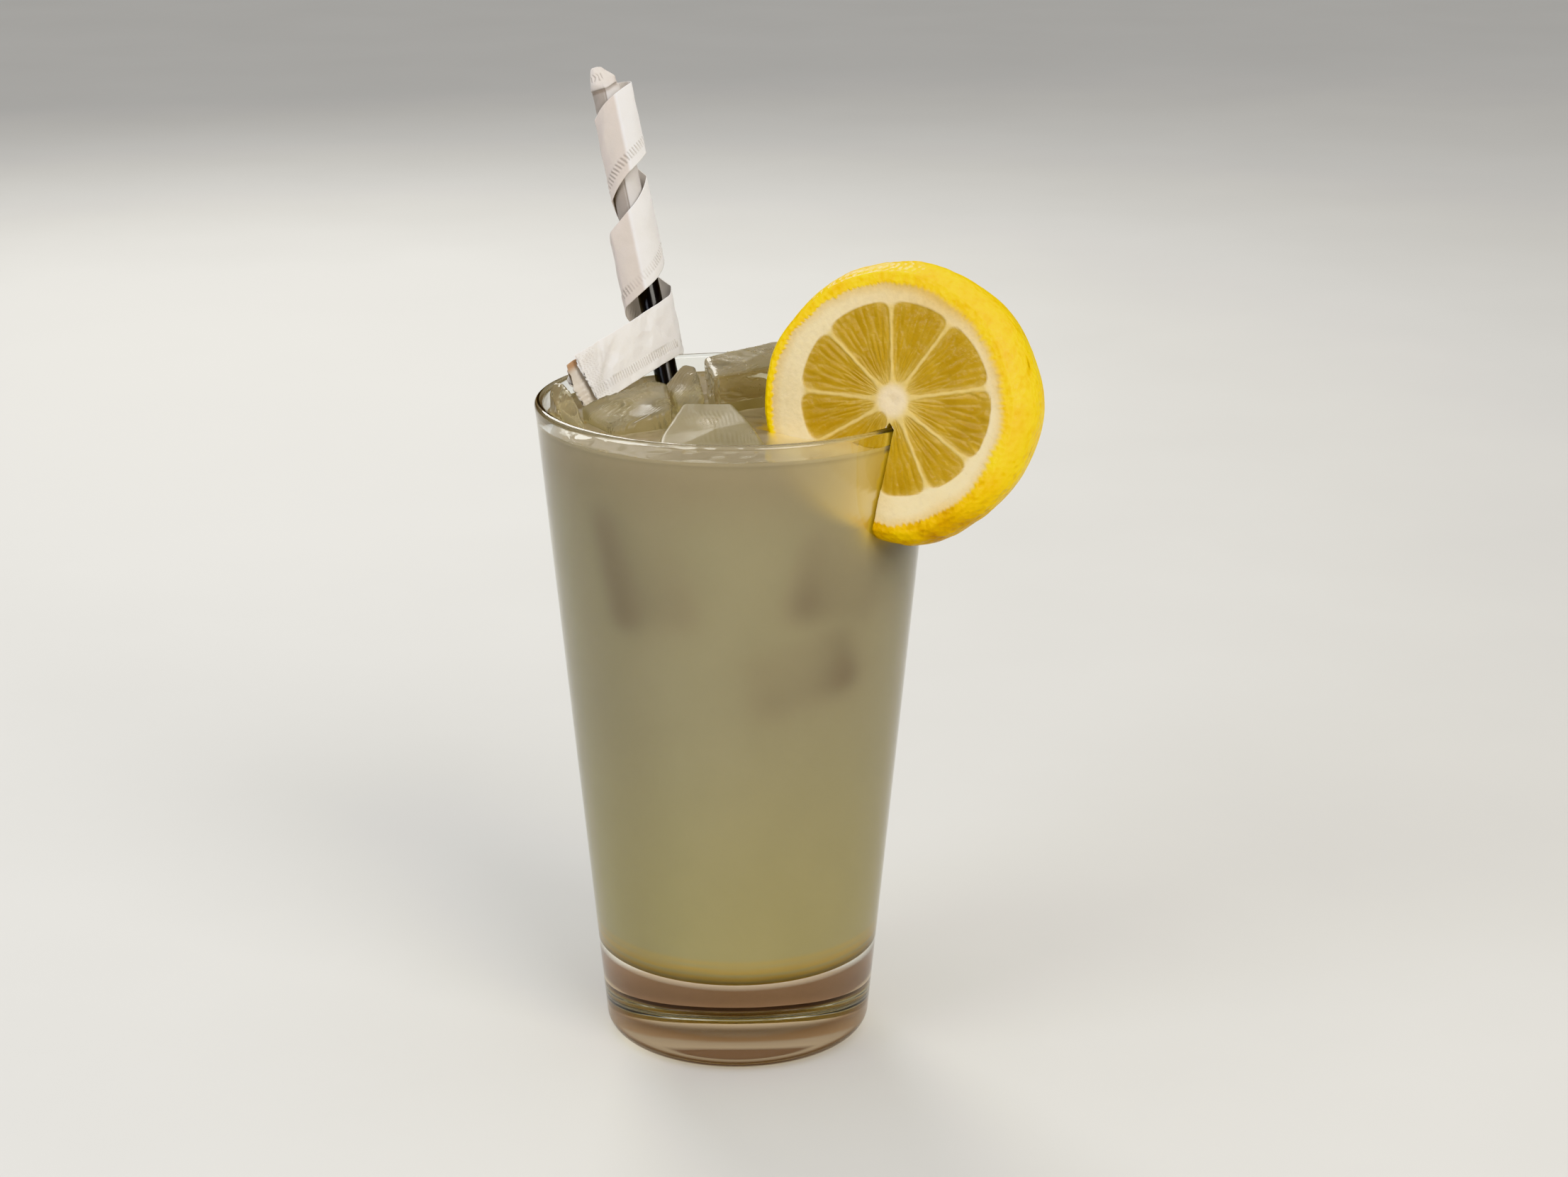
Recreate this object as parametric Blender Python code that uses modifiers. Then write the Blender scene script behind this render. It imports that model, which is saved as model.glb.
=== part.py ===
"""A glass of cloudy lemonade: a straight-sided mixing glass with a thick foot, filled near the rim,
with blocks of ice, a thick lemon wheel slit onto the rim, and a straw still wound in its torn paper.

Metres, +Z up. The origin is the middle of the glass's flat underside; X runs to the right and
Y away from the side that the lemon wheel faces.
"""

import math

import bmesh
import bpy
from mathutils import Matrix, Vector

MM = 0.001
GAP = 0.3 * MM
MERGE = 0.00002

# Glass: a 16 ounce mixing glass.
GLASS_HEIGHT = 150.0 * MM
RIM_RADIUS = 44.5 * MM
BASE_RADIUS = 30.2 * MM
RIM_WALL = 2.1 * MM
FOOT_WALL = 3.0 * MM
FOOT_ROUND = 4.2 * MM
FLOOR_CENTRE = 18.5 * MM
FLOOR_EDGE = 20.6 * MM
FLOOR_EDGE_RADIUS = 23.5 * MM
FLOOR_CORNER_TOP = 27.0 * MM
GLASS_STEPS = 56

# Drink, up to the level that shows.
DRINK_LEVEL = 145.0 * MM

# Straw: it leans from the bottom of the glass over to the back of the rim.
STRAW_RADIUS = 2.75 * MM
STRAW_WALL = 0.35 * MM
STRAW_LENGTH = 203.0 * MM
STRAW_AT_RIM = Vector((-17.1, 35.3, 149.7)) * MM
STRAW_ABOVE_RIM = 64.3 * MM
STRAW_LEAN = Vector((-13.3, 18.7, 60.1)).normalized()
STRAW_STEPS = 20

# Torn paper: a closed end and a sleeve on the straw, and a ribbon wound round both.
PAPER = 0.3 * MM
SLEEVE_RADIUS = STRAW_RADIUS + GAP + PAPER
SLEEVE_BOTTOM = 27.0 * MM
# Each row: turns wound (0 at the right, running round the front), the ribbon's upper and lower
# edge along the straw from the rim, and its radius, all in millimetres.
RIBBON_ROWS = (
    (-0.45, 66.0, 60.5, 3.25),
    (-0.20, 66.4, 55.0, 4.6),
    (0.00, 65.2, 48.8, 6.2),
    (0.25, 61.4, 43.0, 5.1),
    (0.50, 56.3, 36.6, 4.4),
    (0.75, 49.6, 29.0, 4.7),
    (1.00, 42.6, 22.4, 5.1),
    (1.25, 35.8, 17.0, 5.7),
    (1.50, 29.1, 12.0, 7.2),
    (1.75, 22.6, 6.6, 6.0),
    (2.00, 16.2, 1.3, 5.2),
    (2.11, 14.2, 0.6, 5.2),
)
FLAG_LENGTH = 33.0 * MM
FLAG_END_UPPER = 4.9 * MM
FLAG_END_LOWER = -7.6 * MM
FLAG_SAG = 1.2 * MM
RIBBON_STEP_TURN = 1 / 24
FLAG_STEPS = 9
RIBBON_ROWS_ACROSS = 4

# Lemon wheel: its cut face looks along WHEEL_TURN (to the left of the front) and WHEEL_LEAN (up).
WHEEL_CORE = Vector((34.0, -27.2, 155.7)) * MM
WHEEL_TURN = math.radians(32.0)
WHEEL_LEAN = math.radians(10.0)
WHEEL_HALF_WIDTH = 30.6 * MM
WHEEL_HALF_HEIGHT = 27.7 * MM
WHEEL_OFFSET = -1.5 * MM
WHEEL_THICKNESS = 13.0 * MM
WHEEL_BULGE = 2.1 * MM
WHEEL_STEPS = 64
SLIT_TOP = GLASS_HEIGHT + 2.4 * MM
SLIT_BOTTOM = 112.0 * MM

# Ice above the drink: the corners of each block's upper face, in millimetres, going round it,
# how deep the block is and how much narrower its foot is.
ICE_BLOCKS = {
    "ice_left": (
        [(-41.5, 1.0, 150.4), (-40.6, 4.6, 152.2), (-38.6, 4.4, 152.2), (-36.5, -0.2, 151.0),
         (-34.9, -4.0, 148.5), (-32.6, -11.5, 146.2), (-37.2, -8.5, 146.0)], 19.0, 0.80),
    "ice_ridged": (
        [(-34.3, -1.2, 148.0), (-31.0, 0.2, 149.3), (-18.9, 10.8, 151.0), (-15.4, 8.6, 151.0),
         (-13.8, -9.0, 149.5), (-25.6, -16.3, 146.5), (-30.6, -8.0, 146.5)], 22.0, 0.84),
    "ice_chunk": (
        [(-16.0, 12.2, 150.0), (-12.0, 14.6, 154.3), (-9.0, 13.6, 154.3), (-6.8, 2.2, 149.0),
         (-8.0, -1.6, 148.0), (-13.0, -0.5, 148.0)], 15.0, 0.80),
    "ice_back": (
        [(-4.9, 1.2, 154.0), (7.8, 11.1, 154.0), (12.0, 14.2, 154.0), (13.6, 29.7, 156.0),
         (8.2, 29.4, 156.0), (-7.4, 17.0, 155.0)], 24.0, 0.84),
    "ice_front": (
        [(-11.4, -7.4, 150.5), (-0.5, -7.4, 150.5), (3.8, -17.7, 148.6), (7.0, -26.6, 146.0),
         (6.6, -31.8, 144.4), (-16.6, -30.6, 144.4), (-16.0, -20.5, 146.2)], 21.0, 0.84),
}
ICE_ROUND = 0.9 * MM
CUTTER_GROW = 0.45 * MM


def clear_scene():
    for obj in list(bpy.data.objects):
        bpy.data.objects.remove(obj, do_unlink=True)


def new_collection(name):
    collection = bpy.data.collections.new(name)
    bpy.context.scene.collection.children.link(collection)
    return collection


def new_material(name, colour, roughness, transmission=0.0, ior=1.45):
    mat = bpy.data.materials.new(name)
    mat.use_nodes = True
    mat.diffuse_color = (*colour, 1.0)
    shader = mat.node_tree.nodes["Principled BSDF"]
    shader.inputs["Base Color"].default_value = (*colour, 1.0)
    shader.inputs["Roughness"].default_value = roughness
    shader.inputs["Metallic"].default_value = 0.0
    shader.inputs["Transmission Weight"].default_value = transmission
    shader.inputs["IOR"].default_value = ior
    return mat


def add_object(name, mesh, collection, mat=None, matrix=None):
    obj = bpy.data.objects.new(name, mesh)
    collection.objects.link(obj)
    if matrix is not None:
        obj.matrix_world = matrix
    if mat is not None:
        mesh.materials.append(mat)
    return obj


def mark_cutter(obj):
    obj.hide_render = True
    obj.display_type = "WIRE"
    return obj


def smooth(obj, angle=32.0):
    obj.data.shade_smooth()
    obj.data.set_sharp_from_angle(angle=math.radians(angle))


def applied(obj):
    """A new object with the modifiers of obj applied, in its place and under its name."""
    depsgraph = bpy.context.evaluated_depsgraph_get()
    mesh = bpy.data.meshes.new_from_object(obj.evaluated_get(depsgraph), depsgraph=depsgraph)
    name = obj.name
    matrix = obj.matrix_world.copy()
    collection = obj.users_collection[0]
    bpy.data.objects.remove(obj, do_unlink=True)
    mesh.name = name
    return add_object(name, mesh, collection, matrix=matrix)


def turned(name, profile, collection, mat=None, steps=GLASS_STEPS, closed=False, matrix=None):
    """A solid of revolution about Z from (radius, height) points that run down its outer side."""
    mesh = bpy.data.meshes.new(name)
    points = [(r, 0.0, z) for r, z in profile]
    edges = [(i, i + 1) for i in range(len(points) - 1)]
    if closed:
        edges.append((len(points) - 1, 0))
    mesh.from_pydata(points, edges, [])
    obj = add_object(name, mesh, collection, mat, matrix)
    screw = obj.modifiers.new("Turn", "SCREW")
    screw.steps = steps
    screw.render_steps = steps
    screw.use_merge_vertices = True
    screw.merge_threshold = MERGE
    return obj


def outer_radius(z):
    return BASE_RADIUS + (RIM_RADIUS - BASE_RADIUS) * z / GLASS_HEIGHT


def inner_radius(z):
    wall = FOOT_WALL + (RIM_WALL - FOOT_WALL) * z / GLASS_HEIGHT
    return outer_radius(z) - wall


def arc(centre, radius, start, end, count):
    """Points on an arc in the (radius, height) plane, angles in degrees."""
    points = []
    for i in range(count + 1):
        angle = math.radians(start + (end - start) * i / count)
        points.append((centre[0] + radius * math.cos(angle), centre[1] + radius * math.sin(angle)))
    return points


def floor_points(lift):
    """The dished floor and its large round corner, from the middle out, raised by lift."""
    points = []
    for i in range(5):
        t = i / 4
        points.append((FLOOR_EDGE_RADIUS * t, FLOOR_CENTRE + lift + (FLOOR_EDGE - FLOOR_CENTRE) * t * t))
    corner = Vector((inner_radius(FLOOR_EDGE) - lift, FLOOR_EDGE + lift))
    start = Vector(points[-1])
    end = Vector((inner_radius(FLOOR_CORNER_TOP) - lift, FLOOR_CORNER_TOP))
    for i in range(1, 6):
        t = i / 5
        point = start.lerp(corner, t).lerp(corner.lerp(end, t), t)
        points.append((point.x, point.y))
    return points


def make_glass(collection, mat):
    lip = RIM_WALL / 2
    profile = floor_points(0.0)
    for z in (60 * MM, 100 * MM):
        profile.append((inner_radius(z), z))
    profile += arc((RIM_RADIUS - lip, GLASS_HEIGHT - lip), lip, 180, 0, 6)
    profile.append((outer_radius(75 * MM), 75 * MM))
    round_centre = (outer_radius(FOOT_ROUND) - FOOT_ROUND, FOOT_ROUND)
    profile += arc(round_centre, FOOT_ROUND, 0, -90, 5)
    profile.append((0.0, 0.0))
    obj = turned("glass", profile, collection, mat)
    smooth(obj)
    return obj


def straw_matrix():
    """The straw's frame: Z up along it from the rim, X to the right, Y to the back."""
    up = STRAW_LEAN
    right = (Vector((1, 0, 0)) - up * up.x).normalized()
    back = up.cross(right)
    frame = Matrix((right, back, up)).transposed().to_4x4()
    frame.translation = STRAW_AT_RIM
    return frame


def make_straw(collection, mat):
    top = STRAW_ABOVE_RIM
    bottom = top - STRAW_LENGTH
    inside = STRAW_RADIUS - STRAW_WALL
    profile = [(inside, top), (STRAW_RADIUS, top), (STRAW_RADIUS, bottom), (inside, bottom)]
    obj = turned("straw", profile, collection, mat, STRAW_STEPS, True, straw_matrix())
    smooth(obj)
    return obj


def ribbon_row(turn):
    """Upper edge, lower edge and radius of the ribbon at a number of turns, in metres."""
    rows = RIBBON_ROWS
    last = len(rows) - 1
    i = max(j for j in range(last) if rows[j][0] <= turn + 1e-9)
    t = (turn - rows[i][0]) / (rows[i + 1][0] - rows[i][0])
    before, after = rows[max(i - 1, 0)], rows[min(i + 2, last)]
    values = []
    for k in (1, 2, 3):
        p0, p1, p2, p3 = before[k], rows[i][k], rows[i + 1][k], after[k]
        slope1, slope2 = (p2 - p0) / 2, (p3 - p1) / 2
        values.append(MM * ((2 * t**3 - 3 * t**2 + 1) * p1 + (t**3 - 2 * t**2 + t) * slope1
                            + (3 * t**2 - 2 * t**3) * p2 + (t**3 - t**2) * slope2))
    return values


def ribbon_stations():
    """(x, y, upper, lower) in the straw's frame, down the winding and out along the loose end."""
    stations = []
    first, last = RIBBON_ROWS[0][0], RIBBON_ROWS[-1][0]
    count = round((last - first) / RIBBON_STEP_TURN)
    for i in range(count + 1):
        turn = first + (last - first) * i / count
        upper, lower, radius = ribbon_row(turn)
        angle = -2 * math.pi * turn
        stations.append((radius * math.cos(angle), radius * math.sin(angle), upper, lower))
    x0, y0, upper0, lower0 = stations[-1]
    angle = -2 * math.pi * last
    along = Vector((math.sin(angle), -math.cos(angle)))
    aside = Vector((-along.y, along.x))
    for i in range(1, FLAG_STEPS + 1):
        t = i / FLAG_STEPS
        place = Vector((x0, y0)) + along * FLAG_LENGTH * t + aside * FLAG_SAG * math.sin(math.pi * t)
        stations.append((place.x, place.y, upper0 + (FLAG_END_UPPER - upper0) * t,
                         lower0 + (FLAG_END_LOWER - lower0) * t))
    return stations


def make_ribbon(collection, mat):
    bm = bmesh.new()
    columns = []
    for x, y, upper, lower in ribbon_stations():
        column = []
        for j in range(RIBBON_ROWS_ACROSS + 1):
            column.append(bm.verts.new((x, y, lower + (upper - lower) * j / RIBBON_ROWS_ACROSS)))
        columns.append(column)
    for left, right in zip(columns, columns[1:]):
        for j in range(RIBBON_ROWS_ACROSS):
            bm.faces.new((right[j], left[j], left[j + 1], right[j + 1]))
    bmesh.ops.triangulate(bm, faces=bm.faces)
    mesh = bpy.data.meshes.new("ribbon")
    bm.to_mesh(mesh)
    bm.free()
    obj = add_object("ribbon", mesh, collection, mat, straw_matrix())
    shell = obj.modifiers.new("Paper", "SOLIDIFY")
    shell.thickness = PAPER
    shell.offset = 0.0
    return obj


def make_paper(collection, cutters, mat):
    """The sleeve with its crushed, closed end, joined to the ribbon torn from it."""
    top = STRAW_ABOVE_RIM
    inside = SLEEVE_RADIUS - PAPER
    profile = [
        (0.0, top + 6.2 * MM), (0.9 * MM, top + 5.9 * MM), (2.2 * MM, top + 4.2 * MM),
        (3.3 * MM, top + 1.8 * MM), (4.0 * MM, top - 1.6 * MM), (SLEEVE_RADIUS, top - 3.4 * MM),
        (SLEEVE_RADIUS, SLEEVE_BOTTOM), (inside, SLEEVE_BOTTOM), (inside, top + GAP),
        (0.0, top + GAP),
    ]
    sleeve = turned("paper_wrapper", profile, collection, mat, STRAW_STEPS, False, straw_matrix())
    sleeve = applied(sleeve)
    for vertex in sleeve.data.vertices:
        height = vertex.co.z - top
        if height > 1.0 * MM and vertex.co.xy.length > 0.5 * MM:
            fold = 1 + 0.16 * math.sin(3 * math.atan2(vertex.co.y, vertex.co.x) + 220 * height)
            vertex.co.x *= fold
            vertex.co.y *= fold
    ribbon = mark_cutter(applied(make_ribbon(cutters, mat)))
    join = sleeve.modifiers.new("Torn ribbon", "BOOLEAN")
    join.operation = "UNION"
    join.solver = "EXACT"
    join.object = ribbon
    return sleeve


def ice_mesh(name, corners, depth, taper):
    """A block under an upper face given by its corners: crowned a little, narrower at its foot."""
    top = [Vector(c) * MM for c in corners]
    middle = sum(top, Vector()) / len(top)
    down = Vector((0, 0, -depth * MM))
    bm = bmesh.new()
    upper = [bm.verts.new(p) for p in top]
    lower = [bm.verts.new(Vector((middle.x, middle.y, p.z)).lerp(p, taper) + down) for p in top]
    peak = bm.verts.new(middle + Vector((0, 0, 0.5 * MM)))
    base = bm.verts.new(middle + down)
    for i in range(len(top)):
        k = (i + 1) % len(top)
        bm.faces.new((upper[i], upper[k], peak))
        bm.faces.new((lower[k], lower[i], base))
        bm.faces.new((upper[k], upper[i], lower[i], lower[k]))
    bmesh.ops.recalc_face_normals(bm, faces=bm.faces)
    mesh = bpy.data.meshes.new(name)
    bm.to_mesh(mesh)
    bm.free()
    return mesh


def round_ice(obj):
    bevel = obj.modifiers.new("Melted edges", "BEVEL")
    bevel.width = ICE_ROUND
    bevel.segments = 2
    bevel.limit_method = "ANGLE"
    bevel.angle_limit = math.radians(38)


def grown(obj, cutters):
    """A cutter of the same form, larger all round by the gap that a cut keeps."""
    cutter = obj.copy()
    cutter.data = obj.data.copy()
    cutter.name = obj.name + "_room"
    cutters.objects.link(cutter)
    grow = cutter.modifiers.new("Room", "DISPLACE")
    grow.mid_level = 0.0
    grow.strength = CUTTER_GROW
    return mark_cutter(cutter)


def make_ice(collection, cutters, mat):
    rooms = []
    for name, (corners, depth, taper) in ICE_BLOCKS.items():
        obj = add_object(name, ice_mesh(name, corners, depth, taper), collection, mat)
        round_ice(obj)
        rooms.append(grown(obj, cutters))
        smooth(obj, 40)
    return rooms


def wheel_matrix():
    """The wheel's frame: Z out of its cut face, X to its right, Y up."""
    level = Vector((-math.sin(WHEEL_TURN), -math.cos(WHEEL_TURN), 0.0))
    face = level * math.cos(WHEEL_LEAN) + Vector((0, 0, 1)) * math.sin(WHEEL_LEAN)
    right = Vector((math.cos(WHEEL_TURN), -math.sin(WHEEL_TURN), 0.0))
    up = face.cross(right)
    frame = Matrix((right, up, face)).transposed().to_4x4()
    frame.translation = WHEEL_CORE
    return frame


def swell(angle, at_degrees, width_degrees):
    """A smooth bump round the wheel, 1 at its middle."""
    off = (math.degrees(angle) - at_degrees + 180) % 360 - 180
    return math.exp(-((off / width_degrees) ** 2))


def wheel_outline(angle):
    """How far the wheel's edge departs from an oval, as a factor: flatter at its upper left,
    fuller at its foot, and a little uneven all round."""
    uneven = 0.006 * math.sin(5 * angle + 2.1) + 0.004 * math.sin(9 * angle + 1.0)
    return 1 + uneven - 0.045 * swell(angle, 138, 26) + 0.035 * swell(angle, -72, 34)


def make_wheel_body(name, collection, mat):
    radius = WHEEL_HALF_WIDTH
    profile = [(0.0, 0.0), (radius * 0.5, 0.0), (radius - 0.5 * MM, 0.0), (radius, -0.4 * MM)]
    for i in range(1, 7):
        t = i / 7
        bulge = WHEEL_BULGE * math.sin(math.pi * t**0.75) + 0.9 * MM * t
        profile.append((radius + bulge, -WHEEL_THICKNESS * t))
    profile += [(radius + 0.7 * MM, 0.4 * MM - WHEEL_THICKNESS),
                (radius + 0.1 * MM, -WHEEL_THICKNESS), (radius * 0.5, -WHEEL_THICKNESS),
                (0.0, -WHEEL_THICKNESS)]
    obj = applied(turned(name, profile, collection, mat, WHEEL_STEPS, False, wheel_matrix()))
    for vertex in obj.data.vertices:
        shape = wheel_outline(math.atan2(vertex.co.y, vertex.co.x))
        vertex.co.x *= shape
        vertex.co.y *= shape * WHEEL_HALF_HEIGHT / WHEEL_HALF_WIDTH
        vertex.co.x += WHEEL_OFFSET
    return obj


def make_wheel(collection, cutters, mat):
    wheel = make_wheel_body("lemon_wheel", collection, mat)
    room = grown(wheel, cutters)
    clear = GAP + 0.05 * MM
    shut = 0.25 * MM
    middle = RIM_RADIUS - RIM_WALL / 2
    profile = [
        (middle - shut, SLIT_TOP), (middle + shut, SLIT_TOP),
        (RIM_RADIUS + clear, GLASS_HEIGHT + clear - 0.6 * MM),
        (outer_radius(SLIT_BOTTOM) + clear, SLIT_BOTTOM),
        (inner_radius(SLIT_BOTTOM) - clear, SLIT_BOTTOM),
        (inner_radius(GLASS_HEIGHT) - clear, GLASS_HEIGHT + clear - 0.6 * MM),
    ]
    slit = mark_cutter(turned("slit", profile, cutters, None, GLASS_STEPS, True))
    cut = wheel.modifiers.new("Slit for the rim", "BOOLEAN")
    cut.solver = "EXACT"
    cut.object = slit
    smooth(wheel)
    return room


def make_drink(collection, mat, rooms):
    profile = [(0.0, DRINK_LEVEL), (inner_radius(DRINK_LEVEL) - GAP, DRINK_LEVEL)]
    for z in (100 * MM, 60 * MM):
        profile.append((inner_radius(z) - GAP, z))
    profile += reversed(floor_points(GAP))
    obj = turned("drink", profile, collection, mat)
    for room in rooms:
        cut = obj.modifiers.new("Round " + room.name, "BOOLEAN")
        cut.solver = "EXACT"
        cut.object = room
    smooth(obj)
    return obj


def make_straw_room(cutters):
    top = STRAW_ABOVE_RIM
    length = STRAW_LENGTH + 2 * GAP
    frame = straw_matrix() @ Matrix.Translation((0, 0, top + GAP - length / 2))
    mesh = bpy.data.meshes.new("straw_room")
    bm = bmesh.new()
    bmesh.ops.create_cone(bm, cap_ends=True, segments=STRAW_STEPS, radius1=STRAW_RADIUS + GAP,
                          radius2=STRAW_RADIUS + GAP, depth=length)
    bm.to_mesh(mesh)
    bm.free()
    return mark_cutter(add_object("straw_room", mesh, cutters, matrix=frame))


def main():
    clear_scene()
    parts = new_collection("glass_of_lemonade")
    cutters = new_collection("cutters")
    clear_glass = new_material("clear_glass", (0.93, 0.95, 0.95), 0.02, 1.0, 1.52)
    lemonade = new_material("cloudy_lemonade", (0.42, 0.36, 0.19), 0.15, 0.2, 1.34)
    ice = new_material("ice", (0.80, 0.82, 0.80), 0.08, 0.9, 1.31)
    lemon = new_material("lemon", (0.86, 0.66, 0.02), 0.45)
    black_plastic = new_material("black_polypropylene", (0.02, 0.02, 0.022), 0.25)
    paper = new_material("wrapper_paper", (0.82, 0.79, 0.75), 0.9)
    make_glass(parts, clear_glass)
    make_straw(parts, black_plastic)
    make_paper(parts, cutters, paper)
    rooms = make_ice(parts, cutters, ice)
    rooms.append(make_wheel(parts, cutters, lemon))
    rooms.append(make_straw_room(cutters))
    make_drink(parts, lemonade, rooms)


main()
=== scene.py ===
import itertools
import math

import bmesh
import bpy
import numpy as np
from mathutils import Matrix, Vector, bvhtree


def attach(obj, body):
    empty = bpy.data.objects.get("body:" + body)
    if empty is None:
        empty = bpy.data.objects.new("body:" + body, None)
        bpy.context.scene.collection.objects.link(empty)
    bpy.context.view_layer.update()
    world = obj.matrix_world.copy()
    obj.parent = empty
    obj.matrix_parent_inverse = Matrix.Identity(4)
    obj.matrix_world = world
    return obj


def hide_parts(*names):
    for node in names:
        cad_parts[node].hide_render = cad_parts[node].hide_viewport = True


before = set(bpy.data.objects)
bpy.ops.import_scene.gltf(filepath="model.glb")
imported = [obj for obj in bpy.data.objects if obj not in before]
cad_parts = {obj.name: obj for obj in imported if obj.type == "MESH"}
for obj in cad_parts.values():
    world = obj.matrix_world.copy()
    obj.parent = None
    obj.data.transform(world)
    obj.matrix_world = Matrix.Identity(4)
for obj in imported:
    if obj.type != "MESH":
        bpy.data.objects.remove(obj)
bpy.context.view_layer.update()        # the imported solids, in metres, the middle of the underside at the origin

scene = bpy.context.scene
scene.view_settings.view_transform = "Khronos PBR Neutral"       # keeps the lemon's yellow true
mm = 0.001


# Colour, nodes and meshes

def linear(hexColour):
    channels = [int(hexColour[i:i + 2], 16) / 255 for i in (1, 3, 5)]
    return [c / 12.92 if c <= 0.04045 else ((c + 0.055) / 1.055) ** 2.4 for c in channels] + [1.0]


def addNode(tree, kind, values=None, links=None, **settings):
    node = tree.nodes.new(kind)
    for key, value in settings.items():
        setattr(node, key, value)
    for key, value in (values or {}).items():
        node.inputs[key].default_value = value
    for key, source in (links or {}).items():
        tree.links.new(source, node.inputs[key])
    return node


def startMaterial(name, values):
    material = bpy.data.materials.new(name)
    material.use_nodes = True
    tree = material.node_tree
    shader = tree.nodes["Principled BSDF"]
    for key, value in values.items():
        shader.inputs[key].default_value = value
    return material, tree, shader


def letLampsThrough(tree, shader, tint):
    # lamps light what stands behind or inside, as they do through real glass and ice
    clear = addNode(tree, "ShaderNodeBsdfTransparent", {"Color": linear(tint)})
    path = addNode(tree, "ShaderNodeLightPath")
    mix = addNode(tree, "ShaderNodeMixShader", links={
        0: path.outputs["Is Shadow Ray"], 1: shader.outputs["BSDF"], 2: clear.outputs["BSDF"]})
    tree.links.new(mix.outputs["Shader"], tree.nodes["Material Output"].inputs["Surface"])


def meshObject(name, points, faces):
    mesh = bpy.data.meshes.new(name)
    mesh.from_pydata(np.asarray(points).tolist(), [], np.asarray(faces).tolist())
    piece = bpy.data.objects.new(name, mesh)
    scene.collection.objects.link(piece)
    return piece


def pointsOf(piece):
    points = np.empty(len(piece.data.vertices) * 3)
    piece.data.vertices.foreach_get("co", points)
    return points.reshape(-1, 3)


def setPoints(piece, points):
    piece.data.vertices.foreach_set("co", points.ravel())
    piece.data.update()


def normalsOf(piece):
    normals = np.empty(len(piece.data.vertices) * 3)
    piece.data.vertex_normals.foreach_get("vector", normals)
    return normals.reshape(-1, 3)


def setTone(piece, name, tones):
    # a colour kept on each point of the mesh
    layer = piece.data.color_attributes.new(name, "FLOAT_COLOR", "POINT")
    full = np.ones((len(piece.data.vertices), 4))
    full[:, :3] = tones
    layer.data.foreach_set("color", full.ravel())


def setAmount(piece, name, amounts):
    layer = piece.data.attributes.new(name, "FLOAT", "POINT")
    layer.data.foreach_set("value", np.asarray(amounts, dtype=np.float32))


def baked(piece):
    # the evaluated piece as a plain mesh, under the same name
    graph = bpy.context.evaluated_depsgraph_get()
    mesh = bpy.data.meshes.new_from_object(piece.evaluated_get(graph), depsgraph=graph)
    piece.modifiers.clear()
    old = piece.data
    piece.data = mesh
    bpy.data.meshes.remove(old)
    mesh.name = piece.name
    return piece


def outward(piece):
    work = bmesh.new()
    work.from_mesh(piece.data)
    bmesh.ops.recalc_face_normals(work, faces=work.faces)
    work.to_mesh(piece.data)
    work.free()
    piece.data.shade_smooth()
    return piece


def shellOfRings(name, rings):
    # rings of points from one pole to the other, each ring a closed loop; both ends are closed
    rows, columns = rings.shape[:2]
    row, column = np.meshgrid(np.arange(rows - 1), np.arange(columns), indexing="ij")
    after = (column + 1) % columns
    quads = np.stack([row * columns + column, row * columns + after,
                      (row + 1) * columns + after, (row + 1) * columns + column], axis=-1)
    points = np.vstack([rings.reshape(-1, 3), rings[0].mean(axis=0), rings[-1].mean(axis=0)])
    faces = quads.reshape(-1, 4).tolist()
    first, last = len(points) - 2, len(points) - 1
    for j in range(columns):
        k = (j + 1) % columns
        faces.append([first, k, j])
        faces.append([last, (rows - 1) * columns + j, (rows - 1) * columns + k])
    mesh = bpy.data.meshes.new(name)
    mesh.from_pydata(points.tolist(), [], faces)
    piece = bpy.data.objects.new(name, mesh)
    scene.collection.objects.link(piece)
    return outward(piece)


def mergedCopy(node, name):
    # a node's mesh is loose triangles, so its copy is joined up before it is worked on
    piece = bpy.data.objects.new(name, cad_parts[node].data.copy())
    scene.collection.objects.link(piece)
    work = bmesh.new()
    work.from_mesh(piece.data)
    bmesh.ops.remove_doubles(work, verts=work.verts, dist=0.002 * mm)
    work.to_mesh(piece.data)
    work.free()
    piece.data.materials.clear()
    return piece


def finish(piece, slotName, *nodes):
    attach(piece, "root")
    if nodes:
        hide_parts(*nodes)


# Uneven surfaces

def smoothNoise(points, size, seed):
    # soft bumps of about this size, from -1 to 1, the same on every run
    cell = np.asarray(points) / size
    base = np.floor(cell).astype(np.int64)
    part = cell - base
    part = part * part * (3 - 2 * part)
    table = np.random.default_rng(seed).uniform(-1, 1, 4096)
    total = np.zeros(len(cell))
    for corner in itertools.product((0, 1), repeat=3):
        spot = base + np.array(corner)
        key = (spot[:, 0] * 73856093 ^ spot[:, 1] * 19349663 ^ spot[:, 2] * 83492791) % 4096
        total += np.prod(np.where(corner, part, 1 - part), axis=1) * table[key]
    return total


def smoothStep(low, high, values):
    t = np.clip((values - low) / (high - low), 0, 1)
    return t * t * (3 - 2 * t)


def between(start, end, share):
    return start + (end - start) * np.asarray(share)[..., None]


def tone(hexColour):
    return np.array(linear(hexColour)[:3])


# Camera at the photograph's height and distance, looking down a little

camera = {"place": (10.87, -700.0, 320.24), "lookDown": 17.062, "lens": 74.41, "sensor": 36.0}
lens = bpy.data.cameras.new("camera")
lens.lens = camera["lens"]
lens.sensor_width = camera["sensor"]
eye = bpy.data.objects.new("camera", lens)
eye.location = Vector(camera["place"]) * mm
eye.rotation_euler = (math.radians(90 - camera["lookDown"]), 0, 0)
scene.collection.objects.link(eye)
scene.camera = eye


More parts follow.
